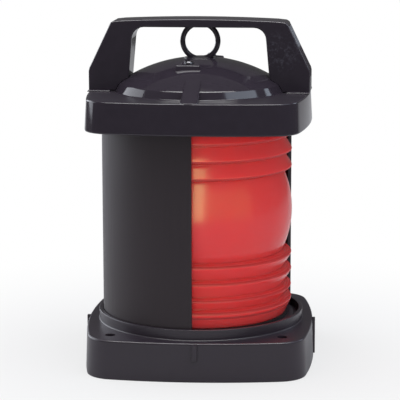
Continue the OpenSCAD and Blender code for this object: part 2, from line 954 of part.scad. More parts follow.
// The raised pad under a strap screw, wide at its outer end
module pad_plate(edge) {
    linear_extrude(pad_edge)
        polygon([[edge - pad_outer_w / 2, pad_outer_y + edge], [pad_outer_w / 2 - edge, pad_outer_y + edge],
                 [pad_inner_w / 2, pad_inner_y], [-pad_inner_w / 2, pad_inner_y]]);
}

module screw_pad() {
    rotate([0, 0, -strap_turn])
        hull() {
            translate([0, 0, pad_z - pad_h - pad_root])
                pad_plate(0);
            translate([0, 0, pad_z - pad_edge])
                rotate([pad_tilt, 0, 0])
                    pad_plate(pad_edge);
        }
}

module head_housing() {
    half = head_w / 2;
    color("#1a1a1d")
        head_frame()
            difference() {
                union() {
                    difference() {
                        union() {
                            head_outer();
                            dome_solid(0);
                            for (side = [0, 180])
                                rotate([0, 0, side])
                                    dome_rib();
                            at_strap_ends()
                                screw_pad();
                        }
                        // hollow below the flat top, and the hollow of the dome
                        slab(half - head_wall, head_z - cut, roof_z - head_z + cut, head_corner_r - head_wall / 2);
                        intersection() {
                            translate([0, 0, dome_c])
                                sphere(r = dome_r - dome_t);
                            translate([0, 0, head_z])
                                cylinder(r = head_land_in, h = dome_top - head_z);
                        }
                    }
                    // land for the upper lens ring, and the guide round the screen
                    washer(head_land_in, head_land_out, head_seat, head_top - head_seat - 1);
                    difference() {
                        washer(screen_r + fit_gap, screen_r + fit_gap + head_guide_t, head_z + 2,
                            head_top - head_z - 3);
                        at_handle_screws()
                            translate([0, 0, roof_z - 9])
                                cylinder(r = handle_screw_head_r + 1, h = 9);
                    }
                    // seat of the ring nut's seal, and bosses of the strap
                    translate([0, 0, nut_seat])
                        cylinder(r = nut_flange_r + 1, h = dome_top - dome_t - nut_seat + 1);
                    at_strap_ends()
                        translate([0, 0, strap_top])
                            cylinder(r = strap_boss_r, h = pad_z - pad_h - 2 - strap_top);
                }
                translate([0, 0, head_z])
                    cylinder(r = hub_hole_r, h = dome_top - head_z + cut);
                at_strap_ends() {
                    translate([0, 0, strap_low - cut])
                        cylinder(r = strap_screw_r + part_gap, h = pad_z + 4 * cut - strap_low);
                    translate([0, 0, screw_seat_z])
                        cylinder(r = strap_screw_head_r + part_gap, h = strap_screw_head_t + cut);
                }
                at_handle_screws()
                    translate([0, 0, roof_z - cut])
                        cylinder(r = handle_screw_r + part_gap, h = roof_t + 2 * cut);
            }
}

module upper_lens_ring() {
    color("#151515")
        lens_ring(lens_top);
}

// Handle
function bar_top(x) = handle_top - bar_arch * pow(x / 66, 2);
function handle_outer() =
    let (half = handle_w / 2, foot = head_top)
    concat(
        [[half, foot], [half, head_top + 15.5], [half - 1.6, head_top + 19.5], [69.4, handle_top - 4.8],
         [68.6, handle_top - 3.2], [66.6, handle_top - 2.1]],
        [for (x = [60:-15:-60]) [x, bar_top(x)]],
        [[-66.6, handle_top - 2.1], [-68.6, handle_top - 3.2], [-69.4, handle_top - 4.8],
         [1.6 - half, head_top + 19.5], [-half, head_top + 15.5], [-half, foot]]);
function grip_opening() =
    let (under = handle_top - bar_h, c = grip_half - grip_corner_r)
    concat(
        [[grip_half + grip_flare, head_top - cut]],
        arc(c, under - grip_corner_r, grip_corner_r, 0, 90, 8),
        arc(-c, under - grip_corner_r, grip_corner_r, 90, 180, 8),
        [[-grip_half - grip_flare, head_top - cut]]);

module standing(points, t) {
    translate([0, t / 2, 0])
        rotate([90, 0, 0])
            linear_extrude(t)
                polygon(points);
}

// The hollow below the bar, in which the ring nut's ring turns
module bar_hollow() {
    half = grip_half - grip_corner_r + 2;
    skin = 2.1;
    standing(concat(
        [[half, handle_top - bar_h - cut], [half, bar_top(half) - skin - 1]],
        [for (x = [30:-15:-30]) [x, bar_top(x) - skin]],
        [[-half, bar_top(half) - skin - 1], [-half, handle_top - bar_h - cut]]),
        handle_t - 2 * bar_wall);
}

module handle() {
    foot_in = dome_foot_r + 1.4;
    color("#1a1a1d")
        head_frame()
            difference() {
                union() {
                    standing(handle_outer(), handle_t);
                    for (side = [0, 180])
                        rotate([0, 0, side])
                            translate([foot_in, -handle_t / 2 - flange_out, head_top])
                                cube([handle_w / 2 - foot_in, handle_t + 2 * flange_out, flange_t]);
                }
                standing(grip_opening(), handle_t + 2 * flange_out + 2 * cut);
                bar_hollow();
                dome_solid(part_gap);
                at_handle_screws()
                    translate([0, 0, head_top - cut])
                        cylinder(r = handle_screw_r + run_gap, h = handle_screw_len - roof_t + 1 + cut);
            }
}

module handle_screws() {
    color("#b9bcc0")
        head_frame()
            at_handle_screws() {
                translate([0, 0, roof_z - handle_screw_head_t])
                    cylinder(r = handle_screw_head_r, h = handle_screw_head_t);
                translate([0, 0, roof_z])
                    cylinder(r = handle_screw_r, h = handle_screw_len);
            }
}

// Ring nut and what keeps it in the dome
module ring_nut() {
    ring_mid = ring_r - ring_bar_r;
    color("#232326")
        difference() {
            union() {
                translate([0, 0, ring_c])
                    rotate([90, 0, 0])
                        rotate_extrude()
                            translate([ring_mid, 0])
                                circle(r = ring_bar_r, $fn = 32);
                translate([0, 0, flange_top])
                    cylinder(r = hub_r, h = hub_top - flange_top);
                translate([0, 0, flange_low])
                    cylinder(r = nut_flange_r, h = nut_flange_t);
                translate([0, 0, nut_low])
                    cylinder(r = 2 * stud_r, h = nut_tail + 1);
            }
            translate([0, 0, nut_low - cut])
                cylinder(r = nut_bore_r, h = nut_tail + nut_flange_t + cut);
        }
}

module ring_seal() {
    color("#151515")
        washer(hub_hole_r, nut_flange_r - 0.5, flange_top, seal_t);
}

module retaining_strap() {
    reach = strap_reach + strap_tip;
    color("#a5a8ac")
        head_frame()
            difference() {
                rotate([0, 0, strap_turn])
                    intersection() {
                        translate([-strap_w / 2, -reach, strap_low])
                            cube([strap_w, 2 * reach, strap_t]);
                        translate([0, 0, strap_low])
                            cylinder(r = reach, h = strap_t);
                    }
                translate([0, 0, strap_low - cut])
                    cylinder(r = strap_hole_r, h = strap_t + 2 * cut);
                at_strap_ends()
                    translate([0, 0, strap_low - cut])
                        cylinder(r = strap_screw_r + run_gap, h = strap_t + 2 * cut);
            }
}

module strap_screws() {
    color("#3a3a3d")
        head_frame()
            at_strap_ends() {
                translate([0, 0, screw_seat_z])
                    cylinder(r = strap_screw_head_r, h = strap_screw_head_t);
                translate([0, 0, strap_low - 1])
                    cylinder(r = strap_screw_r, h = screw_seat_z + strap_screw_head_t / 2 - strap_low + 1);
            }
}

base_housing();
mount_bushes();
bottom_cover();
cover_gasket();
cover_screws();
cable_grommet();
lower_lens_ring();
drum_lens();
light_screen();
tie_rods();
rod_nuts();
lamp_strap();
holder_pillar();
holder_body();
holder_shell();
contact_plungers();
contact_springs();
lamp_cap();
lamp_contacts();
lamp_glass();
lamp_stem();
lamp_filament();
terminal_block();
terminal_screws();
feed_wires();
bridge();
centre_stud();
stud_nuts();
head_housing();
upper_lens_ring();
handle();
handle_screws();
ring_nut();
ring_seal();
retaining_strap();
strap_screws();
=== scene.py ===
"""Looks of a ship's side light, built round its frame: mouldings, lens, screen, fittings and studio."""

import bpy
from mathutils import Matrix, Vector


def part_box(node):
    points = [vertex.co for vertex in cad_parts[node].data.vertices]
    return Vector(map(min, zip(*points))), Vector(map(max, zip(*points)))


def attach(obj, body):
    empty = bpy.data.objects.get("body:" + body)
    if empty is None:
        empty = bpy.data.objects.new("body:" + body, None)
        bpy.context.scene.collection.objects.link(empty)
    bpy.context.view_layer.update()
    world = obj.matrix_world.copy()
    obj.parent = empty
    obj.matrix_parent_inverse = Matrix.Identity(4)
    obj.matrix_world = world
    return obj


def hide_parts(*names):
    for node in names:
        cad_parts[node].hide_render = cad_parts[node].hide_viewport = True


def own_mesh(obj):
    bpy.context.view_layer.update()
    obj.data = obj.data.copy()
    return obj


bl_info = {
    "name": "Ship's side light",
    "version": (1, 0, 0),
    "blender": (4, 5, 0),
    "location": "3D View > Sidebar > Side light",
    "description": "Models and dresses the pieces of a drum-lens side light",
    "category": "Object",
}

from functools import partial
from math import acos, asin, atan2, cos, degrees, hypot, pi, radians, sin, sqrt

import bmesh
import bpy
from bpy.props import FloatProperty, FloatVectorProperty, PointerProperty
from bpy.types import Operator, Panel, PropertyGroup
from mathutils import Matrix, Vector

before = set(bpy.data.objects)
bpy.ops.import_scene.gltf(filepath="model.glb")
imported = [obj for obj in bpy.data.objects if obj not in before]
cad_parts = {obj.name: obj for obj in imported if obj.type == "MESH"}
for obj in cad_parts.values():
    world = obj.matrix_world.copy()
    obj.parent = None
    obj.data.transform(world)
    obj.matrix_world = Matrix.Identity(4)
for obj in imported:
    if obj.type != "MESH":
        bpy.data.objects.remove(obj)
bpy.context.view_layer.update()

MM = 0.001
HAIR = 0.001 * MM  # points closer than this are one
GAP = 0.4 * MM  # loose fit between mouldings
SOFT = 0.4 * MM  # rounding of a small moulded edge
PAN_HEAD = 2.6 * MM  # height of the heads of the strap's screws
COVER_SCREW = 3.6 * MM  # radius of the heads of the cover's screws


# Places that come from the frame, in metres
def foot_of(node):
    """Height of a frame node's lower end."""
    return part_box(node)[0].z


def top_of(node):
    """Height of a frame node's upper end."""
    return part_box(node)[1].z


def reach_of(node):
    """How far a frame node reaches from the axis along Y, in millimetres."""
    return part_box(node)[1].y / MM


# Properties of the sidebar
def length(name, size, description):
    """A size that a user can change, given in millimetres."""
    return FloatProperty(name=name, description=description, default=size * MM, min=0.0, unit="LENGTH",
                         subtype="DISTANCE", precision=5)


def angle(name, turn, description):
    """An angle that a user can change, given in degrees."""
    return FloatProperty(name=name, description=description, default=radians(turn), unit="ROTATION",
                         subtype="ANGLE")


def share(name, value, description):
    """A share between nothing and one."""
    return FloatProperty(name=name, description=description, default=value, min=0.0, max=1.0,
                         subtype="FACTOR")


def linear(code):
    """Turns an sRGB hex value into the linear colour that a shader takes."""
    channels = [int(code[i:i + 2], 16) / 255 for i in (1, 3, 5)]
    return [c / 12.92 if c <= 0.04045 else ((c + 0.055) / 1.055) ** 2.4 for c in channels] + [1.0]


def colour(name, code, description):
    """A colour that a user can change, from its sRGB hex value."""
    return FloatVectorProperty(name=name, description=description, default=linear(code), size=4, min=0.0,
                               max=1.0, subtype="COLOR")


class BaseSizes(PropertyGroup):
    """Sizes of the base and its collar"""

    half: length("Half width", 90, "Half the base's width at its foot")
    draft: length("Draft", 1, "How much each side leans in up to the deck")
    bow: length("Bow", 5, "How far the middle of each side bows out, on the base and the head")
    corner: length("Corner radius", 23, "Radius of the upright corners")
    wall: length("Wall", 5, "Thickness of the side walls")
    deck: length("Deck thickness", 4, "Thickness of the deck outside the collar")
    edge: length("Deck edge", 1.6, "Rounding of the edge round the deck")
    opening: length("Opening", 44, "Radius of the opening below the lamp")
    lip: length("Lip radius", 81, "Outer radius of the collar's lip")
    fillet: length("Fillet", 0.9, "Radius of the hollow between collar and deck")
    bolt_at: length("Bolt place", 66, "Distance of each fixing hole from the middle, both ways")
    bolt_hole: length("Bolt hole", 4, "Radius of the deck's fixing holes")
    post: length("Post", 8.5, "Radius of the corner posts inside")
    mark: length("Mark width", 4, "Width of the raised marks in the middle of the sides")


class LensSizes(PropertyGroup):
    """Sizes of the lens and the screen"""

    inner: length("Inner radius", 61.5, "Radius of the lens's bore")
    land: length("Land radius", 67.2, "Radius of the plain ends that stand on the rubber rings")
    root: length("Root radius", 66, "Radius between the ribs")
    peak: length("Peak radius", reach_of("drum_lens"), "Radius over the ribs and the belly")
    belly_sag: length("Belly sag", 7, "How far the belly falls back at its ends")
    first_rib: length("First rib", 34, "Distance from the middle to the first rib")
    pitch: length("Pitch", 13.2, "Distance between the ribs")
    end_step: length("End step", 9.6, "Distance from the last full rib to the end rib")
    flank: length("Short flank", 2.4, "Height of each rib's short flank, on its side towards the middle")
    rib_round: length("Rib rounding", 2, "Rounding of the ribs' crests")
    screen: length("Screen radius", reach_of("light_screen"), "Outer radius of the light screen")
    screen_wall: length("Screen thickness", 3, "Thickness of the light screen")
    window_from: angle("Window start", -91.9, "Where the window starts, from abeam")
    window_to: angle("Window end", 23.1, "Where the window ends, from abeam")


class HeadSizes(PropertyGroup):
    """Sizes of the head, its dome and its pads"""

    half: length("Half width", 87.2, "Half the head's width at its lower edge")
    draft: length("Draft", 1.3, "How much each side leans in up to the flat top")
    corner: length("Corner radius", 22, "Radius of the upright corners")
    wall: length("Wall", 4, "Thickness of the skirt")
    roof: length("Roof", 4.5, "Thickness of the flat top")
    edge: length("Top edge", 1.1, "Rounding of the edge round the flat top")
    turn: angle("Turn", -2.8, "How far the head sits turned on the base")
    dome_rise: length("Dome height", 26, "Height of the dome above the flat top")
    dome: length("Dome radius", 112, "Radius of the dome's curve")
    dome_foot: length("Dome foot", 67, "Radius of the dome's foot")
    shoulder: length("Shoulder", 63.2, "Radius at which the dome's curve turns into its shoulder")
    shoulder_round: length("Shoulder rounding", 2.5, "Rounding of the shoulder")
    flank: angle("Flank", 60, "Slope of the flank below the shoulder")
    dome_wall: length("Dome thickness", 4, "Thickness of the dome")
    rib_nose: length("Rib nose", 5.6, "Width of the front and back ribs at the edge of the flat top")
    rib_foot: length("Rib foot", 14, "Width of the front and back ribs at the flat top")
    rib_top: length("Rib top", 11, "Width of the front and back ribs at their upper end")
    rib_end: length("Rib end", 46, "Distance from the axis to the ribs' upper ends")
    pad_at: length("Pad place", 30, "Distance from the axis to each screw pad")
    pad_turn: angle("Pad direction", -11, "Direction of the pads from front to back")
    guide: length("Guide", 2.8, "Thickness of the guide ring round the screen")


class HandleSizes(PropertyGroup):
    """Sizes of the carrying handle"""

    half: length("Half width", 86.3, "Half the handle's width across its feet")
    thick: length("Thickness", 28, "Thickness from front to back")
    bar: length("Bar height", 6.6, "Thickness of the bar at its front")
    arch: length("Arch", 1.7, "How much lower the bar's ends are than its middle")
    grip: length("Grip", 52.2, "Half the width of the grip opening")
    flare: length("Flare", 3.6, "How much wider the opening is at the head, each side")
    grip_corner: length("Grip corner", 9.5, "Radius of the opening's upper corners")
    wall: length("Wall", 2.3, "Wall round the hollow below the bar")
    skin: length("Skin", 2.1, "Thickness of the bar above the hollow")
    edge: length("Edge", 1.3, "Rounding of the handle's front and back edges")
    groove: length("Groove width", 3.2, "Width of the grooves down the outer faces")
    groove_deep: length("Groove depth", 0.8, "Depth of the grooves")
    flange: length("Flange", 1.2, "Thickness of the flange below each foot")
    flange_out: length("Flange reach", 6.5, "How far the flange reaches out in front and behind")


class FittingSizes(PropertyGroup):
    """Sizes of the ring nut, the screws, the springs and the lamp"""

    ring: length("Ring", 15.8, "Outer radius of the ring")
    ring_bar: length("Ring bar", 2.05, "Radius of the ring's round bar")
    hub: length("Hub", 13, "Radius of the nut's hub")
    flange: length("Nut flange", 18, "Radius of the nut's flange")
    stud: length("Stud", 4, "Radius of the centre stud")
    thread: length("Thread pitch", 1.25, "Pitch of the stud's thread")
    spring_wire: length("Spring wire", 0.35, "Radius of the contact springs' wire")
    bulb_wall: length("Bulb glass", 1, "Thickness of the bulb's glass")
    filament_wire: length("Filament wire", 0.22, "Radius of the filament's coil wire")


class FinishColours(PropertyGroup):
    """Colours of the finishes"""

    base: colour("Base", "#2a232c", "Satin charcoal of the base")
    head: colour("Head", "#2b262e", "Glossy black of the head and the handle")
    scuff: colour("Scuffs", "#4c4a54", "Dull grey of the scuffs on the handle")
    screen: colour("Screen", "#2e272b", "Satin black of the screen")
    lens: colour("Lens", "#cc4340", "Red of the lens")
    lens_deep: colour("Lens, thick", "#c73d42", "Red of the lens where it is thicker")
    # painted shade: the darker red laid along the lens ribs' crests, for the dark lines that the prisms show
    # there
    lens_crest_shade: colour("Lens seams", "#a03337", "Dark red along the ribs' crests")
    rubber: colour("Rubber", "#161517", "Black of the seals")
    steel: colour("Stainless steel", "#b7b9bc", "Screws, rods and stud")
    dark_steel: colour("Dark steel", "#5a595c", "Black zinc plate of the strap's screws")
    zinc: colour("Zinc plate", "#9fa4aa", "Straps and pillar")
    brass: colour("Brass", "#c39a55", "Bushes, holder and lamp cap")
    phenolic: colour("Phenolic", "#2c1a12", "Brown of the lampholder's core")
    block: colour("Block", "#cfc7b0", "Cream of the terminal block")
    sleeve: colour("Sleeve", "#7c1d18", "Red-brown of the wires")
    tungsten: colour("Tungsten", "#6c6a6b", "Grey of the filament")
    floor: colour("Floor", "#b4b4b6", "Pale grey of the floor in the object's own light")


class StudioSettings(PropertyGroup):
    """Camera and light"""

    lens: FloatProperty(name="Focal length", description="Focal length of the camera, in millimetres",
                        default=170.797, min=1.0)
    distance: length("Distance", 1502.26, "Distance from the camera to the point that it looks at")
    azimuth: angle("Azimuth", 3.366, "Direction of the camera, from dead ahead")
    elevation: angle("Elevation", 10.563, "Height of the camera above the horizon")
    roll: angle("Roll", -0.127, "How far the camera leans")
    look_right: FloatProperty(name="Look right", description="Sideways place of the point looked at",
                              default=-0.567 * MM, unit="LENGTH", subtype="DISTANCE")
    look_up: length("Look up", 124.146, "Height of the point looked at")
    fill: share("Fill", 0.7, "Strength of the world's light on the object")
    mirrored: share("Mirrored background", 0.11, "Strength of the white background in glossy surfaces")
    floor_edge: length("Floor edge", 400, "Distance at which the floor has faded into the background")
    floor_reach: length("Floor reach", 1400, "Half the floor's width")
    floor_front: length("Floor front", 900, "How far the floor reaches in front of the object")


def settings(name):
    """One of this scene's property groups, by its short name."""
    return getattr(bpy.context.scene, "side_light_" + name)


# Outlines
def bowed_square(half, bow, corner):
    """A square whose bowed sides run smoothly into round corners: its distance from the axis by direction."""
    reach = half - bow - corner
    side_r = (reach ** 2 + bow ** 2) / (2 * bow)
    side_c = half - side_r
    corner_c = (side_c + sqrt(2 * (side_r - corner) ** 2 - side_c ** 2)) / 2
    meet = atan2(corner_c, corner_c - side_c)
    joint = atan2(side_r * sin(meet), side_c + side_r * cos(meet))

    def distance(direction):
        off = abs((direction + pi / 4) % (pi / 2) - pi / 4)
        if off <= joint:
            return side_c * cos(off) + sqrt(side_r ** 2 - (side_c * sin(off)) ** 2)
        along = corner_c * (cos(off) + sin(off))
        return along + sqrt(corner ** 2 - 2 * corner_c ** 2 + along ** 2)

    return distance


def arc(centre, radius, start, end, steps):
    """Points on an arc in a plane, from one angle to another in degrees."""
    turns = [radians(start + (end - start) * step / steps) for step in range(steps + 1)]
    return [(centre[0] + radius * cos(turn), centre[1] + radius * sin(turn)) for turn in turns]


def corners(at):
    """The four corners of a square pattern."""
    return [(x * at, y * at) for x in (-1, 1) for y in (-1, 1)]


# Modelling
def round_edges(bm, edges, size, segments=3):
    """Rounds edges."""
    bmesh.ops.bevel(bm, geom=edges, offset=size, offset_type="OFFSET", segments=segments, profile=0.5,
                    affect="EDGES", material=-1, clamp_overlap=True)


def drawn_on(bm, edges):
    """Extrudes a loop of edges in place, and gives the new loop's vertices and edges."""
    made = bmesh.ops.extrude_edge_only(bm, edges=edges)["geom"]
    verts = [item for item in made if isinstance(item, bmesh.types.BMVert)]
    fresh = set(verts)
    return verts, [item for item in made
                   if isinstance(item, bmesh.types.BMEdge) and fresh.issuperset(item.verts)]


def ring_loft(rings, segments=240, capped=False):
    """A closed shell through rings, bridged back to its start or capped.

    A ring is a radius or an outline, a height and, where its edge is round, a rounding.
    """
    bm = bmesh.new()
    turn = bm.verts.layers.float.new("turn")
    bmesh.ops.create_circle(bm, segments=segments, radius=1.0)
    for vert in bm.verts:
        vert[turn] = atan2(vert.co.y, vert.co.x)
    verts, edges, loops = bm.verts[:], bm.edges[:], []
    for outline, height, *_ in rings:
        if loops:
            verts, edges = drawn_on(bm, edges)
        for vert in verts:
            distance = outline(vert[turn]) if callable(outline) else outline
            vert.co = (distance * cos(vert[turn]), distance * sin(vert[turn]), height)
        loops.append(edges)
    if capped:
        bmesh.ops.holes_fill(bm, edges=loops[0] + loops[-1], sides=segments)
    else:
        bmesh.ops.bridge_loops(bm, edges=loops[0] + loops[-1])
    bmesh.ops.recalc_face_normals(bm, faces=bm.faces)
    for (_, _, *rounding), loop in zip(rings, loops):
        if any(rounding):
            round_edges(bm, loop, rounding[0])
    return bm


def moved(bm, *way):
    """Moves a shape."""
    bmesh.ops.translate(bm, verts=bm.verts, vec=way)
    return bm


def turned(bm, turn, axis="Z"):
    """Turns a shape about an axis through the origin."""
    bmesh.ops.rotate(bm, verts=bm.verts, matrix=Matrix.Rotation(turn, 3, axis))
    return bm


def peg(radius, low, high, place=(0, 0), segments=48):
    """An upright cylinder, as a cutter or a boss."""
    return moved(ring_loft([(radius, low), (radius, high)], segments, capped=True), *place, 0)


def pegs(radius, low, high, places):
    """Upright cylinders of one size at several places."""
    return together(*[peg(radius, low, high, place) for place in places])


def block(low, high, rounding=0.0):
    """A block between two corners, with rounded edges."""
    bm = bmesh.new()
    bmesh.ops.create_cube(bm, size=1.0)
    low, high = Vector(low), Vector(high)
    bmesh.ops.scale(bm, verts=bm.verts, vec=high - low)
    moved(bm, *(low + high) / 2)
    if rounding:
        round_edges(bm, bm.edges[:], rounding, 2)
    return bm


def hull(points, rounding=0.0):
    """The convex body round a few points, with rounded edges."""
    bm = bmesh.new()
    for point in points:
        bm.verts.new(point)
    bmesh.ops.convex_hull(bm, input=bm.verts)
    bmesh.ops.dissolve_limit(bm, angle_limit=radians(1), verts=bm.verts, edges=bm.edges)
    if rounding:
        round_edges(bm, bm.edges[:], rounding, 2)
    return bm


def as_mesh(name, bm):
    """Turns a shape into a mesh."""
    mesh = bpy.data.meshes.new(name)
    bm.to_mesh(mesh)
    bm.free()
    return mesh


def in_scene(name, data):
    """Makes an object of a mesh, a camera or a lamp and puts it in the scene."""
    item = bpy.data.objects.new(name, data)
    bpy.context.scene.collection.objects.link(item)
    return item


def together(*parts):
    """Several shapes as one."""
    whole = bmesh.new()
    for part in parts:
        mesh = as_mesh("part", part)
        whole.from_mesh(mesh)
        bpy.data.meshes.remove(mesh)
    return whole


def combine(body, tool, operation):
    """Adds one closed shape to another, or takes it away."""
    shapes = []
    for shape in (body, tool):
        bmesh.ops.recalc_face_normals(shape, faces=shape.faces)
        shapes.append(in_scene("shape", as_mesh("shape", shape)))
    modifier = shapes[0].modifiers.new("Combine", "BOOLEAN")
    modifier.object = shapes[1]
    modifier.operation = operation
    modifier.solver = "EXACT"
    result = bmesh.new()
    result.from_mesh(shapes[0].evaluated_get(bpy.context.evaluated_depsgraph_get()).data)
    for shape in shapes:
        mesh = shape.data
        bpy.data.objects.remove(shape)
        bpy.data.meshes.remove(mesh)
    return result


def piece(name, bm, finish, body, slot, *nodes, sharp=35):
    """Makes a finished object of a shape, gives it its material and lets it ride on its body."""
    bmesh.ops.remove_doubles(bm, verts=bm.verts, dist=HAIR)
    mesh = as_mesh(name, bm)
    mesh.shade_smooth()
    mesh.set_sharp_from_angle(angle=radians(sharp))
    mesh.materials.append(shared(finish))
    item = in_scene(name, mesh)
    item.modifiers.new("Even shading", "WEIGHTED_NORMAL").keep_sharp = True
    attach(item, body)
    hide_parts(*nodes)
    return item


def dress(node, finish, edge=0.0):
    """Gives a frame node its material, smooth round faces and, where it shows, softened edges."""
    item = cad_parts[node]
    item.data.materials.clear()
    item.data.materials.append(shared(finish))
    item.data.shade_smooth()
    item.modifiers.new("Weld", "WELD").merge_threshold = 2 * HAIR
    if edge:
        soft = item.modifiers.new("Soft edges", "BEVEL")
        soft.width = edge
        soft.segments = 2
        soft.limit_method = "ANGLE"
        soft.angle_limit = radians(40)
    item.modifiers.new("Crisp edges", "EDGE_SPLIT").split_angle = radians(38)


# Materials
def add_node(tree, kind, inputs, output=0, **options):
    """Adds a shader node, sets its options, sets or links its inputs, and gives the output asked for."""
    node = tree.nodes.new("ShaderNode" + kind)
    for key, value in options.items():
        setattr(node, key, value)
    for key, value in inputs.items():
        if isinstance(value, bpy.types.NodeSocket):
            tree.links.new(value, node.inputs[key])
        else:
            node.inputs[key].default_value = value
    return node.outputs[output] if node.outputs else None


def new_material(name):
    """An empty node material, the function that adds to it, and the place that its patterns read."""
    material = bpy.data.materials.new(name)
    material.use_nodes = True
    material.node_tree.nodes.clear()
    add = partial(add_node, material.node_tree)
    return material, add, add("TexCoord", {}, "Object")


def finish_material(add, inputs):
    """Ends a material with its shader."""
    add("OutputMaterial", {"Surface": add("BsdfPrincipled", inputs)})


def shades(pattern, tint, lift):
    """A Mix node's inputs, for a colour that a pattern makes darker and lighter by a share."""
    darker, lighter = [[channel * change for channel in tint[:3]] + [1.0] for change in (1 - lift, 1 + lift)]
    return {"Factor": pattern, 6: darker, 7: lighter}


def spread(pattern, low, high):
    """A Map Range node's inputs, which spread a cloudy pattern's middle range between two numbers."""
    return {"Value": pattern, "From Min": 0.3, "From Max": 0.7, "To Min": low, "To Max": high}


def patterned(name, tint, lift, size, detail, roughness, depth, stretch=(1.0, 1.0, 1.0), **more):
    """A finish with one cloudy pattern, whose patches are about one size.

    It tints the colour by a share, spreads the roughness and stands out by a depth. Sizes are in metres.
    """
    material, add, place = new_material(name)
    drawn = add("Mapping", {"Vector": place, "Scale": stretch})
    cloud = add("TexNoise", {"Vector": drawn, "Scale": 1 / size, "Detail": detail})
    tints = shades(cloud, getattr(settings("finish"), tint), lift)
    finish_material(add, {
        "Base Color": add("Mix", tints, 2, data_type="RGBA"),
        "Roughness": add("MapRange", spread(cloud, *roughness)),
        "Normal": add("Bump", {"Height": cloud, "Distance": depth}),
        **more,
    })
    return material


def base_plastic():
    """Moulded ABS from an eroded tool: an even satin charcoal with a fine grain."""
    material, add, place = new_material("Moulded ABS, satin charcoal")
    flow = add("TexNoise", {"Vector": place, "Scale": 1 / (26 * MM), "Detail": 3.0})
    # the real grain is 0.1 mm; it is drawn 0.8 mm wide, the finest that the picture shows
    grain = add("TexNoise", {"Vector": place, "Scale": 1 / (0.8 * MM), "Detail": 1.0})
    tints = shades(flow, settings("finish").base, 0.12)
    finish_material(add, {
        "Base Color": add("Mix", tints, 2, data_type="RGBA"),
        "Roughness": add("MapRange", spread(flow, 0.3, 0.36)),
        "IOR": 1.53,
        "Normal": add("Bump", {"Height": grain, "Distance": 0.006 * MM}),
    })
    return material


def head_plastic():
    """ABS moulded against a polished tool: deep glossy black, duller where the flat top is grained."""
    material, add, place = new_material("Moulded ABS, glossy black")
    finish, flat = settings("finish"), foot_of("handle")
    waves = add("TexNoise", {"Vector": place, "Scale": 1 / (7 * MM), "Detail": 1.0})
    # hands dull the gloss in patches a few millimetres wide
    touched = add("TexNoise", {"Vector": place, "Scale": 1 / (3.5 * MM), "Detail": 6.0, "Roughness": 0.7})
    dulled = add("MapRange", spread(touched, 0.06, 0.12))
    # the flat top is where the surface is level and at the height of the handle's feet
    height = add("SeparateXYZ", {0: place}, "Z")
    normal = add("TexCoord", {}, "Normal")
    facing = add("SeparateXYZ", {0: normal}, "Z")
    level = add("Math", {0: height, 1: flat, 2: 0.5 * MM}, operation="COMPARE")
    upright = add("Math", {0: facing, 1: 0.98}, operation="GREATER_THAN")
    grained = add("Math", {0: level, 1: upright}, operation="MULTIPLY")
    # one post of the handle is scuffed where it was grasped
    grip = (64 * MM, -14 * MM, flat + 31 * MM)
    grasped = add("VectorMath", {0: place, 1: grip}, "Value", operation="DISTANCE")
    near = add("MapRange", {
        "Value": grasped, "From Min": 4 * MM, "From Max": 21 * MM, "To Min": 1.0, "To Max": 0.0},
        interpolation_type="SMOOTHSTEP")
    scratches = add("TexNoise", {"Vector": place, "Scale": 1 / (3 * MM), "Detail": 6.0, "Roughness": 0.75})
    flecks = add("MapRange", {"Value": scratches, "From Min": 0.5, "From Max": 0.68})
    scuffed = add("Math", {0: near, 1: flecks}, operation="MULTIPLY")
    black = add("Mix", shades(waves, finish.head, 0.1), 2, data_type="RGBA")
    finish_material(add, {
        "Base Color": add("Mix", {"Factor": scuffed, 6: black, 7: finish.scuff}, 2, data_type="RGBA"),
        "Roughness": add("Mix", {"Factor": grained, 2: dulled, 3: 0.36}),
        "IOR": 1.5,
        "Normal": add("Bump", {"Height": waves, "Distance": 0.01 * MM}),
    })
    return material


def screen_plastic():
    """Rolled sheet, painted satin black: softer than the head, with fine streaks up its height."""
    return patterned("Painted sheet, satin black", "screen", 0.1, 2.4 * MM, 2.0, (0.4, 0.46), 0.004 * MM,
                     (1.0, 1.0, 0.08), **{"IOR": 1.5, "Specular IOR Level": 0.3})


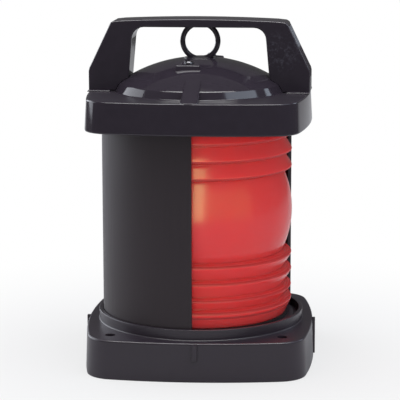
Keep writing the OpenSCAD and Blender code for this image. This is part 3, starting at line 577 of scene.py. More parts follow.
def red_acrylic():
    """Pressed red acrylic: deep red that glows where light goes through, under a wet gloss, with painted
    shade along the ribs' crests.
    """
    material, add, place = new_material("Pressed acrylic, signal red")
    finish, lens = settings("finish"), settings("lens")
    swirl = add("TexNoise", {"Vector": place, "Scale": 1 / (40 * MM)})
    pressed = add("TexNoise", {"Vector": place, "Scale": 1 / (9 * MM), "Detail": 1.0})
    body = add("Mix", {"Factor": swirl, 6: finish.lens_deep, 7: finish.lens}, 2, data_type="RGBA")
    # painted shade: a narrow band at each rib's crest turns a darker red, standing in for the dark lines that
    # the prisms show there; the gloss dulls with it
    height = add("SeparateXYZ", {0: place}, "Z")
    middle = (foot_of("drum_lens") + top_of("drum_lens")) / 2
    last_crest = 2 * lens.pitch + lens.end_step
    off = add("Math", {0: height, 1: middle}, operation="SUBTRACT")
    away = add("Math", {0: off}, operation="ABSOLUTE")
    past = add("Math", {0: away, 1: lens.first_rib}, operation="SUBTRACT")
    ribbed = add("Math", {0: past, 1: -3 * MM}, operation="GREATER_THAN")
    to_crest = add("Math", {0: past, 1: lens.pitch / 2}, operation="PINGPONG")
    beyond = add("Math", {0: past, 1: last_crest}, operation="SUBTRACT")
    to_last = add("Math", {0: beyond}, operation="ABSOLUTE")
    nearest = add("Math", {0: to_crest, 1: to_last}, operation="MINIMUM")
    line = add("MapRange", {
        "Value": nearest, "From Min": 0.3 * MM, "From Max": 1.5 * MM, "To Min": 1.0, "To Max": 0.0},
        interpolation_type="SMOOTHSTEP")
    # mask of the painted shade at the crests, on the ribbed part only
    crest_shade = add("Math", {0: line, 1: ribbed}, operation="MULTIPLY")
    finish_material(add, {
        "Base Color": add("Mix", {"Factor": crest_shade, 6: body, 7: finish.lens_crest_shade}, 2, data_type="RGBA"),
        "Roughness": add("Mix", {"Factor": crest_shade, 2: 0.23, 3: 0.6}),
        "IOR": 1.49,
        "Specular IOR Level": 0.25,
        "Subsurface Weight": 1.0,
        "Subsurface Radius": (1.0, 0.3, 0.3),
        "Subsurface Scale": 10 * MM,
        "Normal": add("Bump", {"Height": pressed, "Distance": 0.02 * MM}),
    })
    return material


def seal_rubber():
    """Moulded EPDM rubber: dead matt black with a slight bloom."""
    return patterned("EPDM rubber, black", "rubber", 0.35, 5 * MM, 4.0, (0.68, 0.8), 0.02 * MM)


def stainless():
    """Turned stainless steel: clean, bright, with fine rings from the lathe."""
    return patterned("Stainless steel, turned", "steel", 0.1, 1.5 * MM, 3.0, (0.16, 0.28), 0.004 * MM,
                     (0.3, 0.3, 2.0), Metallic=1.0)


def dark_steel():
    """Turned steel under black zinc plate: dark, with pale glints on its edges."""
    return patterned("Black zinc-plated steel", "dark_steel", 0.1, 1.5 * MM, 3.0, (0.2, 0.32), 0.004 * MM,
                     Metallic=1.0)


def threaded_steel():
    """Stainless rod with a rolled thread: rows of bright crests."""
    material, add, place = new_material("Stainless steel, threaded")
    # one wave of the pattern is 2 pi / 20 long at a scale of one
    scale = 2 * pi / (20 * settings("fittings").thread)
    thread = add("TexWave", {"Vector": place, "Scale": scale}, "Fac", bands_direction="Z")
    tints = shades(thread, settings("finish").steel, 0.2)
    finish_material(add, {
        "Base Color": add("Mix", tints, 2, data_type="RGBA"),
        "Metallic": 1.0,
        "Roughness": 0.3,
        "Normal": add("Bump", {"Height": thread, "Distance": 0.3 * MM, "Strength": 0.7}),
    })
    return material


def zinc_sheet():
    """Zinc-plated mild steel: greyish with the slight bloom of the plating bath."""
    return patterned("Zinc-plated steel sheet", "zinc", 0.1, 6 * MM, 3.0, (0.32, 0.48), 0.01 * MM,
                     Metallic=1.0)


def drawn_brass():
    """Drawn brass: warm yellow, dulled unevenly by air."""
    return patterned("Drawn brass", "brass", 0.1, 4 * MM, 3.0, (0.22, 0.4), 0.006 * MM, Metallic=1.0)


def tungsten_wire():
    """Drawn tungsten: dark grey, slightly rough."""
    return patterned("Tungsten wire", "tungsten", 0.1, 0.5 * MM, 3.0, (0.35, 0.5), 0.004 * MM, Metallic=1.0)


def phenolic():
    """Pressed phenolic resin: dark brown with darker flecks of filler."""
    return patterned("Phenolic moulding, brown", "phenolic", 0.4, 1.2 * MM, 3.0, (0.3, 0.45), 0.01 * MM)


def block_plastic():
    """Moulded polyamide: cream, with a dull skin."""
    return patterned("Moulded polyamide, cream", "block", 0.08, 8 * MM, 3.0, (0.45, 0.6), 0.01 * MM,
                     **{"Subsurface Weight": 0.15, "Subsurface Scale": 1 * MM})


def wire_sleeve():
    """Silicone sleeve on stranded wire: dull red-brown."""
    return patterned("Silicone sleeve, red-brown", "sleeve", 0.2, 3 * MM, 3.0, (0.5, 0.65), 0.01 * MM)


def nut_coat():
    """Cast brass under a stoved black coat: thick gloss that rounds small dents."""
    return patterned("Stoved enamel, black", "head", 0.15, 2.5 * MM, 2.0, (0.12, 0.22), 0.02 * MM, **{
        "IOR": 1.5, "Specular IOR Level": 0.4, "Coat Weight": 0.4, "Coat Roughness": 0.06})


def bulb_glass():
    """Blown soda glass: clear, with faint waves."""
    material, add, place = new_material("Blown glass, clear")
    waves = add("TexNoise", {"Vector": place, "Scale": 1 / (14 * MM), "Detail": 1.0})
    finish_material(add, {
        "Base Color": (0.95, 0.97, 0.97, 1.0),
        "Roughness": 0.02,
        "IOR": 1.52,
        "Transmission Weight": 1.0,
        "Normal": add("Bump", {"Height": waves, "Distance": 0.03 * MM}),
    })
    return material


MADE = {}


def shared(finish):
    """A material that several pieces share: made once, then found by its maker."""
    found = bpy.data.materials.get(MADE.get(finish, ""))
    if found is None:
        found = finish()
        MADE[finish] = found.name
    return found


# Shapes of the pieces
def cover_screws_at():
    """Distance of each cover screw from the middle, both ways."""
    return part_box("cover_screws")[1].x - COVER_SCREW


def mark_blocks(base, deck):
    """The raised marks in the middle of the base's four sides: short at front and back, long at the sides."""
    half, sunk, out = base.mark / 2, base.half - 2.5 * MM, base.half + 1.2 * MM
    top, short, tall = deck - 0.6 * MM, deck - 13.2 * MM, 1 * MM
    return together(*[turned(block((-half, -out, foot), (half, -sunk, top), 0.3 * MM), turn)
                      for turn, foot in ((0, short), (pi, short), (pi / 2, tall), (-pi / 2, tall))])


def base_shape():
    """The base: deck, walls, collar with its hollow curve, screen groove and lens seat, posts and holes."""
    base, lens = settings("base"), settings("lens")
    under = top_of("mount_bushes")
    deck = under + base.deck
    lip, seat, groove = top_of("base_housing"), foot_of("lower_lens_ring"), foot_of("light_screen")
    well, groove_in = lens.screen + GAP, lens.screen - lens.screen_wall - GAP
    corner = base.corner - base.wall / 2
    inner = bowed_square(base.half - base.wall, base.bow, corner)
    rebate = bowed_square(base.half - base.wall + 2 * MM, base.bow, corner + 1 * MM)
    ledge = top_of("cover_gasket")
    shape = ring_loft([
        (bowed_square(base.half, base.bow, base.corner), 0.0, 0.8 * MM),
        (bowed_square(base.half - base.draft, base.bow, base.corner), deck, base.edge),
        (base.lip + base.fillet, deck),
        *arc((base.lip + base.fillet, deck + base.fillet), base.fillet, 262, 182, 5),
        (base.lip, deck + base.fillet),
        (base.lip, lip, 0.45 * MM),
        (well, lip, SOFT),
        (well, groove),
        (groove_in, groove),
        (groove_in, seat, SOFT),
        (base.opening, seat, 0.6 * MM),
        (base.opening, under, SOFT),
        (inner, under, 1 * MM),
        (inner, ledge),
        (rebate, ledge),
        (rebate, 0.0, SOFT),
    ])
    shape = combine(shape, mark_blocks(base, deck), "UNION")
    bolts = corners(base.bolt_at)
    boss, past = 5 * MM, 1 * MM  # posts and cutters reach this far past a face
    posts = pegs(base.post, 0.0, under + past, bolts)
    bosses = pegs(boss, top_of("bottom_cover"), under + past, corners(cover_screws_at()))
    shape = combine(shape, together(posts, bosses), "UNION")
    bores = pegs(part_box("mount_bushes")[1].x - base.bolt_at, -past, under, bolts)
    shape = combine(shape, bores, "DIFFERENCE")
    holes = pegs(base.bolt_hole, under - past, deck + past, bolts)
    shape = combine(shape, holes, "DIFFERENCE")

    def at_rim(vert):
        """Whether a point lies on the upper rim of a fixing hole."""
        off = hypot(abs(vert.co.x) - base.bolt_at, abs(vert.co.y) - base.bolt_at)
        return max(abs(off - base.bolt_hole), abs(vert.co.z - deck)) < 0.05 * MM

    round_edges(shape, [edge for edge in shape.edges if all(map(at_rim, edge.verts))], 0.5 * MM, 2)
    return shape


def screen_shape():
    """The light screen: a curved sheet with softened edges."""
    lens = settings("lens")
    low, high = foot_of("light_screen"), top_of("light_screen")
    inner, outer = lens.screen - lens.screen_wall, lens.screen
    bm = bmesh.new()
    sheet = bm.faces.new([bm.verts.new((radius, 0, height)) for radius, height in
                          ((inner, low), (outer, low), (outer, high), (inner, high))])
    turned(bm, lens.window_to)
    covered = 2 * pi - (lens.window_to - lens.window_from)
    steps = 122  # two degrees each
    bmesh.ops.spin(bm, geom=[*bm.verts, *bm.edges, sheet], axis=(0, 0, 1), angle=covered, steps=steps,
                   use_merge=False)
    bmesh.ops.remove_doubles(bm, verts=bm.verts, dist=HAIR)
    bmesh.ops.recalc_face_normals(bm, faces=bm.faces)
    rims = [edge for edge in bm.edges if len(edge.link_faces) == 2 and edge.calc_face_angle() > radians(60)]
    round_edges(bm, rims, 0.45 * MM, 2)
    return bm


def lens_shape():
    """The drum lens: a belly in the middle, and ribs with a short flank towards it and a long slope away."""
    lens = settings("lens")
    low, high = foot_of("drum_lens"), top_of("drum_lens")
    middle = (low + high) / 2
    belly, steps = lens.first_rib - lens.flank, 12
    curve = (belly ** 2 + lens.belly_sag ** 2) / (2 * lens.belly_sag)
    heights = [belly * step / steps for step in range(steps + 1)]
    upper = [(lens.peak - curve + sqrt(curve ** 2 - height ** 2), height, 0) for height in heights]
    crests = [lens.first_rib + lens.pitch * number for number in range(3)]
    crests.append(crests[-1] + lens.end_step)
    # rounding takes this much off a crest's point
    point = lens.peak + 0.5 * MM
    for crest in crests:
        upper += [(lens.root, crest - lens.flank, SOFT), (point, crest, lens.rib_round)]
    # the belly's end takes the place of the first valley
    upper.remove((lens.root, crests[0] - lens.flank, SOFT))
    rings = [(lens.inner, low, SOFT), (lens.land, low, 0.5 * MM)]
    rings += [(radius, middle - height, rounding) for radius, height, rounding in reversed(upper[1:])]
    rings += [(radius, middle + height, rounding) for radius, height, rounding in upper]
    rings += [(lens.land, high, 0.5 * MM), (lens.inner, high, SOFT)]
    return ring_loft(rings, 200)


def dome_height(head, radius):
    """Height of the dome's curve at a distance from the axis."""
    return foot_of("handle") + head.dome_rise - head.dome + sqrt(head.dome ** 2 - radius ** 2)


def hub_hole():
    """Radius of the hole that the nut's hub stands in."""
    return settings("fittings").hub + 0.3 * MM


def dome_points(head, gap=0.0):
    """The dome's outer profile from its foot up to the nut's hub, grown by a gap, as radius and height."""
    flat = foot_of("handle")
    centre = flat + head.dome_rise - head.dome
    tilt = asin(head.shoulder / head.dome)
    bend = (head.shoulder - head.shoulder_round * sin(tilt),
            centre + (head.dome - head.shoulder_round) * cos(tilt))
    turn = 90 - degrees(tilt)
    shoulder = arc(bend, head.shoulder_round + gap, 90 - degrees(head.flank), turn, 6)
    dome = arc((0, centre), head.dome + gap, turn, degrees(acos(hub_hole() / head.dome)), 16)
    return [(head.dome_foot + gap, flat), *shoulder, *dome[1:]]


def rib_shape(head, side):
    """The rib that climbs from the head's front or back edge on to the dome."""
    flat = foot_of("handle")
    front = head.half - head.draft - 0.2 * MM
    low, step, ridge = flat - 1 * MM, flat + 0.3 * MM, dome_height(head, head.rib_end) - 0.5 * MM
    nose, widening = 5.5 * MM, (head.rib_foot - head.rib_nose) / 2
    turns = [pi / 8 * number for number in range(5)]
    foot = [(head.rib_foot / 2, -head.rib_end)]
    foot += [(head.rib_nose / 2 + widening * cos(turn), -front + nose * (1 - sin(turn))) for turn in turns]
    points = [(right * x, y, z) for right in (-1, 1) for x, y in foot for z in (low, step)]
    points += [(right * head.rib_top / 2, -head.rib_end, z) for right in (-1, 1) for z in (low, ridge)]
    return turned(hull(points, 0.7 * MM), side)


def pad_places(head):
    """Where the two strap screws stand, before the head is turned."""
    x, y = head.pad_at * sin(head.pad_turn), -head.pad_at * cos(head.pad_turn)
    return [(x, y), (-x, -y)]


def pad_shape(head, side):
    """The raised pad under a strap screw, wide at its outer end and level with the dome's slope."""
    sunk, rise, inset, height = 4 * MM, 2 * MM, 1 * MM, dome_height(head, head.pad_at)
    tilt = asin(head.pad_at / head.dome) / 2
    outer, inner, front, back = 10.25 * MM, 5.5 * MM, -8 * MM, 5.5 * MM
    foot = [(x * width, y, height - sunk) for x in (-1, 1) for width, y in ((outer, front), (inner, back))]
    face = [(x * width, y, height + rise + y * tilt) for x in (-1, 1)
            for width, y in ((outer - inset, front + inset), (inner, back))]
    return turned(moved(hull(foot + face, 0.7 * MM), *pad_places(head)[0], 0), side)


def head_shape():
    """The head: square skirt, flat top, dome with ribs and pads, guide ring, lens land and nut seat."""
    base, lens, head = settings("base"), settings("lens"), settings("head")
    low, flat, land = foot_of("head_housing"), foot_of("handle"), top_of("upper_lens_ring")
    roof, seat = flat - head.roof, top_of("ring_seal")
    inside, boss = head.dome - head.dome_wall, settings("fittings").flange + 1 * MM
    guide_in, guide_low, land_in = lens.screen + GAP, low + 2 * MM, lens.inner - 3.5 * MM
    land_out = lens.land + 4.4 * MM
    vault = arc((0, flat + head.dome_rise - head.dome), inside, 90 - degrees(asin(boss / inside)),
                90 - degrees(asin(land_in / inside)), 8)
    inner = bowed_square(head.half - head.wall, base.bow, head.corner - head.wall / 2)
    dome = dome_points(head)
    shape = ring_loft([
        (bowed_square(head.half, base.bow, head.corner), low, 1.2 * MM),
        (bowed_square(head.half - head.draft, base.bow, head.corner), flat, head.edge),
        (*dome[0], 0.6 * MM),
        *dome[1:],
        (hub_hole(), seat),
        (boss, seat, SOFT),
        *vault,
        (land_in, land, SOFT),
        (land_out, land, SOFT),
        (land_out, roof, 0.6 * MM),
        (guide_in, roof),
        (guide_in, guide_low, SOFT),
        (guide_in + head.guide, guide_low, SOFT),
        (guide_in + head.guide, roof),
        (inner, roof, 1 * MM),
        (inner, low, 0.6 * MM),
    ])
    places, strap_top = pad_places(head), top_of("retaining_strap")
    ribs = together(*[rib_shape(head, side) for side in (0, pi)])
    pads = together(*[pad_shape(head, side) for side in (0, pi)])
    through = 5 * MM  # from the strap or a screw's seat into the dome's wall or out of it
    for added in (ribs, pegs(6 * MM, strap_top, strap_top + through, places), pads):
        shape = combine(shape, added, "UNION")
    screw_seat = top_of("strap_screws") - PAN_HEAD
    shape = combine(shape, pegs(4.2 * MM, screw_seat, screw_seat + through, places), "DIFFERENCE")
    return turned(shape, head.turn)


def handle_outline(handle):
    """The handle's outline from its right foot over its bar and back: x, z, share of the grooves' depth."""
    foot, top = foot_of("handle"), top_of("handle")
    # in millimetres: how far in and up from the outer foot, then x and how far down from the top
    side = [(handle.half - inwards * MM, foot + up * MM, 1)
            for inwards, up in ((0, 0), (0, 15.5), (0.5, 17.8), (1.6, 20))]
    side += [(x * MM, top - down * MM, depth)
             for x, down, depth in ((70.6, 7.3, 1), (69.4, 4.8, 0), (68.6, 3.2, 0), (66.6, 2.1, 0))]
    bar = [(x * MM, top - handle.arch * (x / 66) ** 2, 0) for x in range(60, -61, -10)]
    corner, under = handle.grip - handle.grip_corner, top - handle.bar
    grip = [(handle.grip + handle.flare, foot)]
    grip += arc((corner, under - handle.grip_corner), handle.grip_corner, 0, 90, 6)
    grip += arc((-corner, under - handle.grip_corner), handle.grip_corner, 90, 180, 6)
    grip += [(-handle.grip - handle.flare, foot)]
    left = [(-x, z, depth) for x, z, depth in reversed(side)]
    return side + bar + left + [(x, z, 0) for x, z in reversed(grip)]


def handle_shape():
    """The handle: one outline drawn through from front to back, with grooved outer faces and a hollow bar."""
    handle, head = settings("handle"), settings("head")
    foot, top = foot_of("handle"), top_of("handle")
    half_t, half_g = handle.thick / 2, handle.groove / 2
    slope, spacing = 0.6 * MM, 7.4 * MM
    steps = [(-half_t, 0)]
    for middle in (-spacing, 0, spacing):
        steps += [(middle - half_g - slope, 0), (middle - half_g, 1)]
        steps += [(middle + half_g, 1), (middle + half_g + slope, 0)]
    steps.append((half_t, 0))
    bm = bmesh.new()
    depth = bm.verts.layers.float.new("depth")
    home = bm.verts.layers.float.new("home")
    start = []
    for x, z, weight in handle_outline(handle):
        vert = bm.verts.new((x, -half_t, z))
        vert[depth] = weight * handle.groove_deep
        vert[home] = x
        start.append(vert)
    edges = [bm.edges.new(pair) for pair in zip(start, start[1:] + start[:1])]
    for y, deep in steps[1:]:
        verts, edges = drawn_on(bm, edges)
        for vert in verts:
            inwards = -1 if vert[home] > 0 else 1
            vert.co = (vert[home] + inwards * vert[depth] * deep, y, vert.co.z)
    bmesh.ops.holes_fill(bm, edges=bm.edges)
    bmesh.ops.recalc_face_normals(bm, faces=bm.faces)
    rims = [edge for edge in bm.edges if all(abs(abs(vert.co.y) - half_t) < HAIR for vert in edge.verts)]
    round_edges(bm, rims, handle.edge)
    near, far = head.dome_foot + 1.4 * MM, half_t + handle.flange_out
    flanges = []
    for side in (-1, 1):
        ends = sorted((side * near, side * handle.half))
        flange = block((ends[0], -far, foot), (ends[1], far, foot + handle.flange))
        upper = [edge for edge in flange.edges
                 if all(vert.co.z > foot + handle.flange / 2 for vert in edge.verts)]
        round_edges(flange, upper, 0.85 * handle.flange)
        flanges.append(flange)
    shape = combine(bm, together(*flanges), "UNION")
    reach, under = handle.grip - handle.grip_corner + 2 * MM, top - handle.bar - 1 * MM
    wide, roof = half_t - handle.wall, top - handle.skin
    arch = ((reach, under), (reach, roof - 2 * MM), (30 * MM, roof - 0.4 * MM))
    hollow = hull([(side * x, y, z) for y in (-wide, wide) for side in (1, -1) for x, z in arch])
    shape = combine(shape, hollow, "DIFFERENCE")
    dome, below = dome_points(head, 0.3 * MM), 5 * MM
    bowl = ring_loft([(dome[0][0], foot - below), *dome], 120, capped=True)
    return turned(combine(shape, bowl, "DIFFERENCE"), head.turn)


def ring_nut_shape():
    """The nut: hub, flange and threaded tail, with the ring that turns it."""
    fittings = settings("fittings")
    low, high, flange_top = foot_of("ring_nut"), top_of("ring_nut"), foot_of("ring_seal")
    flange_low, hub_top = flange_top - 3 * MM, high - 28.4 * MM
    cone_top = hub_top + 0.8 * MM
    bore, tail, vent = fittings.stud + 0.06 * MM, 2 * fittings.stud, 1 * MM
    body = ring_loft([
        (bore, low, 0.3 * MM),
        (tail, low, 0.6 * MM),
        (tail, flange_low),
        (fittings.flange, flange_low, 0.5 * MM),
        (fittings.flange, flange_top, 0.5 * MM),
        (fittings.hub, flange_top),
        (fittings.hub, hub_top, 0.5 * MM),
        (4.5 * MM, cone_top),
        (vent, cone_top),
        (vent, flange_top),
        (bore, flange_top),
    ], 96)
    ring = bmesh.new()
    bmesh.ops.create_circle(ring, segments=24, radius=fittings.ring_bar)
    moved(ring, fittings.ring - fittings.ring_bar, 0, 0)
    bmesh.ops.spin(ring, geom=[*ring.verts, *ring.edges], axis=(0, 1, 0), angle=2 * pi, steps=96,
                   use_merge=True)
    return combine(body, moved(ring, 0, 0, high - fittings.ring), "UNION")


def pan_screw(radius, height, shaft_length):
    """A pan-head screw with a cross recess, standing head up with its seat at nothing."""
    shaft = 2 * MM
    screw = ring_loft([
        (shaft, -shaft_length, 0.3 * MM),
        (shaft, 0),
        (radius, 0),
        (radius, 0.45 * height, 0.4 * height),
        (0.62 * radius, height, 0.2 * height),
    ], 48, capped=True)
    slot, reach = 0.14 * radius, 0.55 * radius
    for turn in (0, pi / 2):
        bar = hull([(x * long, y * slot, z) for x in (-1, 1) for y in (-1, 1)
                    for z, long in ((0.3 * height, 0.4 * reach), (1.2 * height, reach))])
        screw = combine(screw, turned(bar, turn), "DIFFERENCE")
    return screw


def screws(node, radius, height, places, turn=0.0, down=False):
    """A frame node's screws, with heads of one size at several places."""
    low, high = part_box(node)
    seat = low.z + height if down else high.z - height
    parts = []
    for number, (x, y) in enumerate(places):
        # no two recesses point the same way
        screw = turned(pan_screw(radius, height, high.z - low.z - height), 0.9 + 1.7 * number)
        if down:
            turned(screw, pi, "X")
        parts.append(moved(screw, x, y, seat))
    return turned(together(*parts), turn)


def coil(radius, wire, low, high, turns, place=0.0, segments=10):
    """A helical wire with closed ends, between two heights."""
    bm = bmesh.new()
    bmesh.ops.create_circle(bm, segments=segments, radius=wire, matrix=Matrix.Rotation(pi / 2, 4, "X"))
    moved(bm, radius, 0, low + wire)
    steps = int(24 * turns)
    rise = (high - low - 2 * wire) / steps
    bmesh.ops.spin(bm, geom=[*bm.verts, *bm.edges], axis=(0, 0, 1), dvec=(0, 0, rise), angle=2 * pi * turns,
                   steps=steps, use_merge=False)
    bmesh.ops.remove_doubles(bm, verts=bm.verts, dist=HAIR)
    bmesh.ops.holes_fill(bm, edges=bm.edges, sides=segments)
    bmesh.ops.recalc_face_normals(bm, faces=bm.faces)
    return moved(bm, place, 0, 0)


def bulb_shape():
    """The bulb: neck and ball of blown glass, hollow inside."""
    ball, neck, wall = 24 * MM, 9.5 * MM, settings("fittings").bulb_wall
    centre = top_of("lamp_glass") - ball

    def profile(radius, throat, foot):
        start = -90 + degrees(asin(throat / radius))
        shoulder = [(throat, centre - radius - 2 * MM), (throat + 1.2 * MM, centre - radius + 1.6 * MM)]
        return [(throat, foot), *shoulder, *arc((0, centre), radius, start + 12, 88, 22)]

    outside = profile(ball, neck, foot_of("lamp_glass"))
    inside = profile(ball - wall, neck - wall, foot_of("lamp_stem"))
    return ring_loft([*outside, *reversed(inside)], 96, capped=True)


def filament_shape():
    """The filament: a fine coil between two lead wires."""
    low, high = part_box("lamp_filament")
    half, reach, lead = 6 * MM, 5 * MM, 0.4 * MM
    middle, lead_x = high.z - half, high.x - lead
    wire = settings("fittings").filament_wire
    parts = [coil(0.8 * MM, wire, middle - half, middle + half, 12, segments=8)]
    for side in (-1, 1):
        end = middle + side * reach
        parts.append(peg(lead, low.z, end, (side * lead_x, 0), 12))
        parts.append(moved(turned(peg(lead, 0.0, lead_x, segments=12), side * pi / 2, "Y"), 0, 0, end))
    return together(*parts)


# Operators, one for each piece or group of like pieces
class SIDELIGHT_OT_base(Operator):
    """Model the base and dress what closes it from below"""

    bl_idname = "side_light.base"
    bl_label = "Base"

    def execute(self, context):
        piece("base_shell", base_shape(), base_plastic, "root", "base_plastic", "base_housing")
        dress("bottom_cover", base_plastic, 0.4 * MM)
        dress("cover_gasket", seal_rubber)
        dress("cable_grommet", seal_rubber, 0.3 * MM)
        dress("mount_bushes", drawn_brass, 0.25 * MM)
        return {"FINISHED"}


class SIDELIGHT_OT_screen(Operator):
    """Model the light screen"""

    bl_idname = "side_light.screen"
    bl_label = "Light screen"

    def execute(self, context):
        piece("screen_sheet", screen_shape(), screen_plastic, "root", "screen_plastic", "light_screen")
        return {"FINISHED"}


class SIDELIGHT_OT_lens(Operator):
    """Model the drum lens and dress its rubber rings"""

    bl_idname = "side_light.lens"
    bl_label = "Lens"

    def execute(self, context):
        piece("lens_drum", lens_shape(), red_acrylic, "root", "red_lens", "drum_lens", sharp=50)
        dress("lower_lens_ring", seal_rubber)
        dress("upper_lens_ring", seal_rubber)
        return {"FINISHED"}


class SIDELIGHT_OT_head(Operator):
    """Model the head and dress the strap below its dome"""

    bl_idname = "side_light.head"
    bl_label = "Head"

    def execute(self, context):
        piece("head_shell", head_shape(), head_plastic, "head", "head_plastic", "head_housing")
        dress("retaining_strap", zinc_sheet, 0.3 * MM)
        dress("ring_seal", seal_rubber)
        return {"FINISHED"}


class SIDELIGHT_OT_handle(Operator):
    """Model the carrying handle"""

    bl_idname = "side_light.handle"
    bl_label = "Handle"

    def execute(self, context):
        piece("handle_arch", handle_shape(), head_plastic, "head", "head_plastic", "handle")
        return {"FINISHED"}


class SIDELIGHT_OT_ring_nut(Operator):
    """Model the ring nut"""

    bl_idname = "side_light.ring_nut"
    bl_label = "Ring nut"

    def execute(self, context):
        piece("nut_with_ring", ring_nut_shape(), nut_coat, "nut", "nut_coat", "ring_nut")
        return {"FINISHED"}


class SIDELIGHT_OT_screws(Operator):
    """Model the screws of the strap, the handle and the cover"""

    bl_idname = "side_light.screws"
    bl_label = "Screws"

    def execute(self, context):
        head = settings("head")
        strap = screws("strap_screws", 3.9 * MM, PAN_HEAD, pad_places(head), head.turn)
        piece("strap_pan_screws", strap, dark_steel, "head", "dark_steel", "strap_screws")
        foot_at, pair_at = 77 * MM, 6 * MM
        feet = [(x * foot_at, y * pair_at) for x in (-1, 1) for y in (-1, 1)]
        handle = screws("handle_screws", 4.3 * MM, 3 * MM, feet, head.turn, down=True)
        piece("handle_pan_screws", handle, stainless, "head", "stainless", "handle_screws")
        cover = screws("cover_screws", COVER_SCREW, 0.9 * MM, corners(cover_screws_at()), down=True)
        piece("cover_pan_screws", cover, stainless, "root", "stainless", "cover_screws")
        return {"FINISHED"}


class SIDELIGHT_OT_carrier(Operator):
    """Dress the rods, nuts and straps inside the lens, and the terminals"""

    bl_idname = "side_light.carrier"
    bl_label = "Carrier and terminals"

    def execute(self, context):
        for node in ("tie_rods", "centre_stud"):
            dress(node, threaded_steel)
        for node in ("rod_nuts", "stud_nuts"):
            dress(node, stainless, 0.25 * MM)
        for node in ("lamp_strap", "bridge", "holder_pillar"):
            dress(node, zinc_sheet, 0.3 * MM)
        dress("terminal_block", block_plastic, 0.4 * MM)
        dress("terminal_screws", drawn_brass, 0.2 * MM)
        dress("feed_wires", wire_sleeve)
        return {"FINISHED"}


class SIDELIGHT_OT_lampholder(Operator):
    """Dress the lampholder and coil its contact springs"""

    bl_idname = "side_light.lampholder"
    bl_label = "Lampholder"

    def execute(self, context):
        dress("holder_body", phenolic, 0.3 * MM)
        dress("holder_shell", drawn_brass, 0.2 * MM)
        dress("contact_plungers", drawn_brass, 0.3 * MM)
        low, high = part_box("contact_springs")
        wire, at = settings("fittings").spring_wire, high.x - high.y
        coils = together(*[coil(high.y - wire, wire, low.z, high.z, 4.5, side * at) for side in (-1, 1)])
        springs = piece("plunger_springs", coils, stainless, "root", "stainless", "contact_springs")
        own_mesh(springs)
        return {"FINISHED"}


class SIDELIGHT_OT_lamp(Operator):
    """Model the lamp's bulb and filament and dress its cap"""

    bl_idname = "side_light.lamp"
    bl_label = "Lamp"

    def execute(self, context):
        piece("bulb", bulb_shape(), bulb_glass, "lamp", "clear_glass", "lamp_glass", sharp=60)
        dress("lamp_stem", bulb_glass)
        dress("lamp_cap", drawn_brass, 0.25 * MM)
        dress("lamp_contacts", stainless, 0.25 * MM)
        piece("filament", filament_shape(), tungsten_wire, "lamp", "tungsten", "lamp_filament")
        return {"FINISHED"}


class SIDELIGHT_OT_stage(Operator):
    """Set the floor, the camera, the softboxes and the white background"""

    bl_idname = "side_light.stage"
    bl_label = "Stage"

    def execute(self, context):
        studio = settings("studio")
        make_floor(studio)
        make_camera(studio)
        # a narrow strip above is there for the thin glints that it draws along the upper edges
        edge = softbox("Edge light", 0, 76, 1.3, (1.8, 0.2), 12.0)
        edge.visible_diffuse = False
        # softboxes stand left, right and overhead, flagged off the lens on its own side
        softbox("Left softbox", -120, 19, 1.5, (1.85, 1.05), 2.8, (0.94, 0.98, 1.06))
        linked("Flagged off the lens", "lens_drum", "EXCLUDE", [
            softbox("Right softbox", 67, 41, 1.5, (1.2, 0.45), 2.7, (0.82, 0.94, 1.1)),
            softbox("Right rear softbox", 121, 24, 1.5, (0.5, 0.5), 2.6, (0.82, 0.94, 1.1)),
            softbox("Overhead softbox", 0, 82, 1.4, (1.2, 1.0), 4.4),
            edge,
        ])
        # a tall warm strip and a dim panel close in front are there for their reflections in the lens
        strip = softbox("Strip light", 1, 23, 0.6, (0.14, 0.7), 14.0, (0.85, 1.0, 0.45))
        panel = softbox("Front panel", 38, 10, 0.75, (0.8, 0.45), 1.8, (1.0, 0.93, 0.3))
        key = softbox("Lens key", 10, 6, 1.5, (1.6, 0.5), 5.0)
        strip.visible_diffuse = panel.visible_diffuse = key.visible_glossy = False
        linked("For the lens alone", "lens_drum", "INCLUDE", [strip, panel, key])
        make_world(studio)
        context.scene.view_settings.view_transform = "Standard"
        return {"FINISHED"}


def make_floor(studio):
    """A pale floor that keeps the object's shadow and fades into the white background."""
    bm = bmesh.new()
    bmesh.ops.create_grid(bm, x_segments=8, y_segments=8, size=studio.floor_reach)
    # a hair below the base, so that no two faces share a place
    mesh = as_mesh("floor", moved(bm, 0, studio.floor_reach - studio.floor_front, -0.1 * MM))
    material, add, place = new_material("Pale floor")
    cloud = add("TexNoise", {"Vector": place, "Scale": 1 / (300 * MM), "Detail": 1.0})
    tints = shades(cloud, settings("finish").floor, 0.01)
    tinted = add("Mix", tints, 2, data_type="RGBA")
    paint = add("BsdfDiffuse", {"Color": tinted})
    seen = add("LightPath", {}, "Is Camera Ray")
    # the paint shows a little near the object, for its shadow, and further out the floor is white
    away = add("VectorMath", {0: place}, "Value", operation="LENGTH")
    faded = add("MapRange", {
        "Value": away, "From Min": 100 * MM, "From Max": studio.floor_edge, "To Min": 0.7, "To Max": 1.0},
        interpolation_type="SMOOTHSTEP")
    share_seen = add("Math", {0: seen, 1: faded}, operation="MULTIPLY")
    white = add("Emission", {"Color": (1, 1, 1, 1), "Strength": 1.0})
    floor = add("MixShader", {0: share_seen, 1: paint, 2: white})
    add("OutputMaterial", {"Surface": floor})
    mesh.materials.append(material)
    in_scene("floor", mesh)


def direction(turn, lift):
    """The direction that lies a turn to the right of dead ahead and a lift above the horizon."""
    return Vector((sin(turn) * cos(lift), -cos(turn) * cos(lift), sin(lift)))


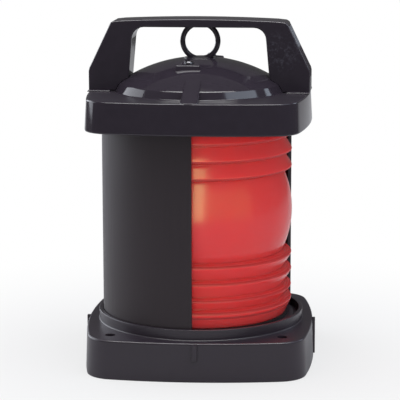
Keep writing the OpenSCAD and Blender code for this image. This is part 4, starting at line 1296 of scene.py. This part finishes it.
def make_camera(studio):
    """The camera at the photograph's angle."""
    back = direction(studio.azimuth, studio.elevation)
    level = Vector((cos(studio.azimuth), sin(studio.azimuth), 0))
    right = cos(studio.roll) * level + sin(studio.roll) * back.cross(level)
    target = level * studio.look_right + Vector((0, 0, studio.look_up))
    data = bpy.data.cameras.new("camera")
    data.lens = studio.lens
    data.sensor_width = 36.0
    data.clip_start, data.clip_end = 0.05, 50.0
    camera = in_scene("camera", data)
    turn = Matrix((right, back.cross(right), back)).transposed()
    camera.matrix_world = Matrix.Translation(target + back * studio.distance) @ turn.to_4x4()
    bpy.context.scene.camera = camera


def softbox(name, azimuth, elevation, distance, size, radiance, tint=(1.0, 1.0, 1.0)):
    """A rectangular lamp that faces the middle of the object, from a direction in degrees."""
    towards = direction(radians(azimuth), radians(elevation))
    data = bpy.data.lights.new(name, "AREA")
    data.shape = "RECTANGLE"
    data.size, data.size_y = size
    # an area lamp's radiance is its power over pi times its area
    data.energy = radiance * pi * size[0] * size[1]
    data.color = tint
    lamp = in_scene(name, data)
    middle = Vector((0, 0, 130 * MM))
    lamp.location = middle + towards * distance
    lamp.rotation_euler = towards.to_track_quat("Z", "Y").to_euler()
    return lamp


def linked(title, name, state, lamps):
    """Lets lamps light one piece alone, or all but it, as black cards on stands would."""
    cards = bpy.data.collections.new(title)
    cards.objects.link(bpy.data.objects[name])
    cards.collection_objects[0].light_linking.link_state = state
    for lamp in lamps:
        lamp.light_linking.receiver_collection = cards


def make_world(studio):
    """A white background, with a softer light from all round on the object."""
    world = bpy.data.worlds.new("Studio")
    world.use_nodes = True
    world.node_tree.nodes.clear()
    add = partial(add_node, world.node_tree)
    direct, through, mirrored = [add("LightPath", {}, name) for name in
                                 ("Is Camera Ray", "Is Transmission Ray", "Is Glossy Ray")]
    seen = add("Math", {0: direct, 1: through}, operation="MAXIMUM")
    around = add("Mix", {"Factor": mirrored, 2: studio.fill, 3: studio.mirrored})
    strength = add("Mix", {"Factor": seen, 2: around, 3: 1.0})
    background = add("Background", {"Color": (1, 1, 1, 1), "Strength": strength})
    add("OutputWorld", {"Surface": background})
    bpy.context.scene.world = world


GROUPS = {"base": BaseSizes, "lens": LensSizes, "head": HeadSizes, "handle": HandleSizes,
          "fittings": FittingSizes, "finish": FinishColours, "studio": StudioSettings}
OPERATORS = (SIDELIGHT_OT_base, SIDELIGHT_OT_screen, SIDELIGHT_OT_lens, SIDELIGHT_OT_head,
             SIDELIGHT_OT_handle, SIDELIGHT_OT_ring_nut, SIDELIGHT_OT_screws, SIDELIGHT_OT_carrier,
             SIDELIGHT_OT_lampholder, SIDELIGHT_OT_lamp, SIDELIGHT_OT_stage)


class SIDELIGHT_PT_panel(Panel):
    """Lists the operators and the sizes"""

    bl_idname = "SIDELIGHT_PT_panel"
    bl_label = "Side light"
    bl_space_type = "VIEW_3D"
    bl_region_type = "UI"
    bl_category = "Side light"

    def draw(self, context):
        for operator in OPERATORS:
            self.layout.operator(operator.bl_idname)
        for name, group in GROUPS.items():
            box = self.layout.box()
            box.label(text=group.__doc__)
            for key in group.__annotations__:
                box.prop(settings(name), key)


def register():
    for group in GROUPS.values():
        bpy.utils.register_class(group)
    for name, group in GROUPS.items():
        setattr(bpy.types.Scene, "side_light_" + name, PointerProperty(type=group))
    for item in (*OPERATORS, SIDELIGHT_PT_panel):
        bpy.utils.register_class(item)


def unregister():
    for item in (SIDELIGHT_PT_panel, *reversed(OPERATORS)):
        bpy.utils.unregister_class(item)
    for name, group in GROUPS.items():
        delattr(bpy.types.Scene, "side_light_" + name)
        bpy.utils.unregister_class(group)


def main():
    """Registers the sidebar, then makes every piece and the stage."""
    register()
    for operator in OPERATORS:
        family, name = operator.bl_idname.split(".")
        getattr(getattr(bpy.ops, family), name)()


if __name__ == "__main__":
    main()
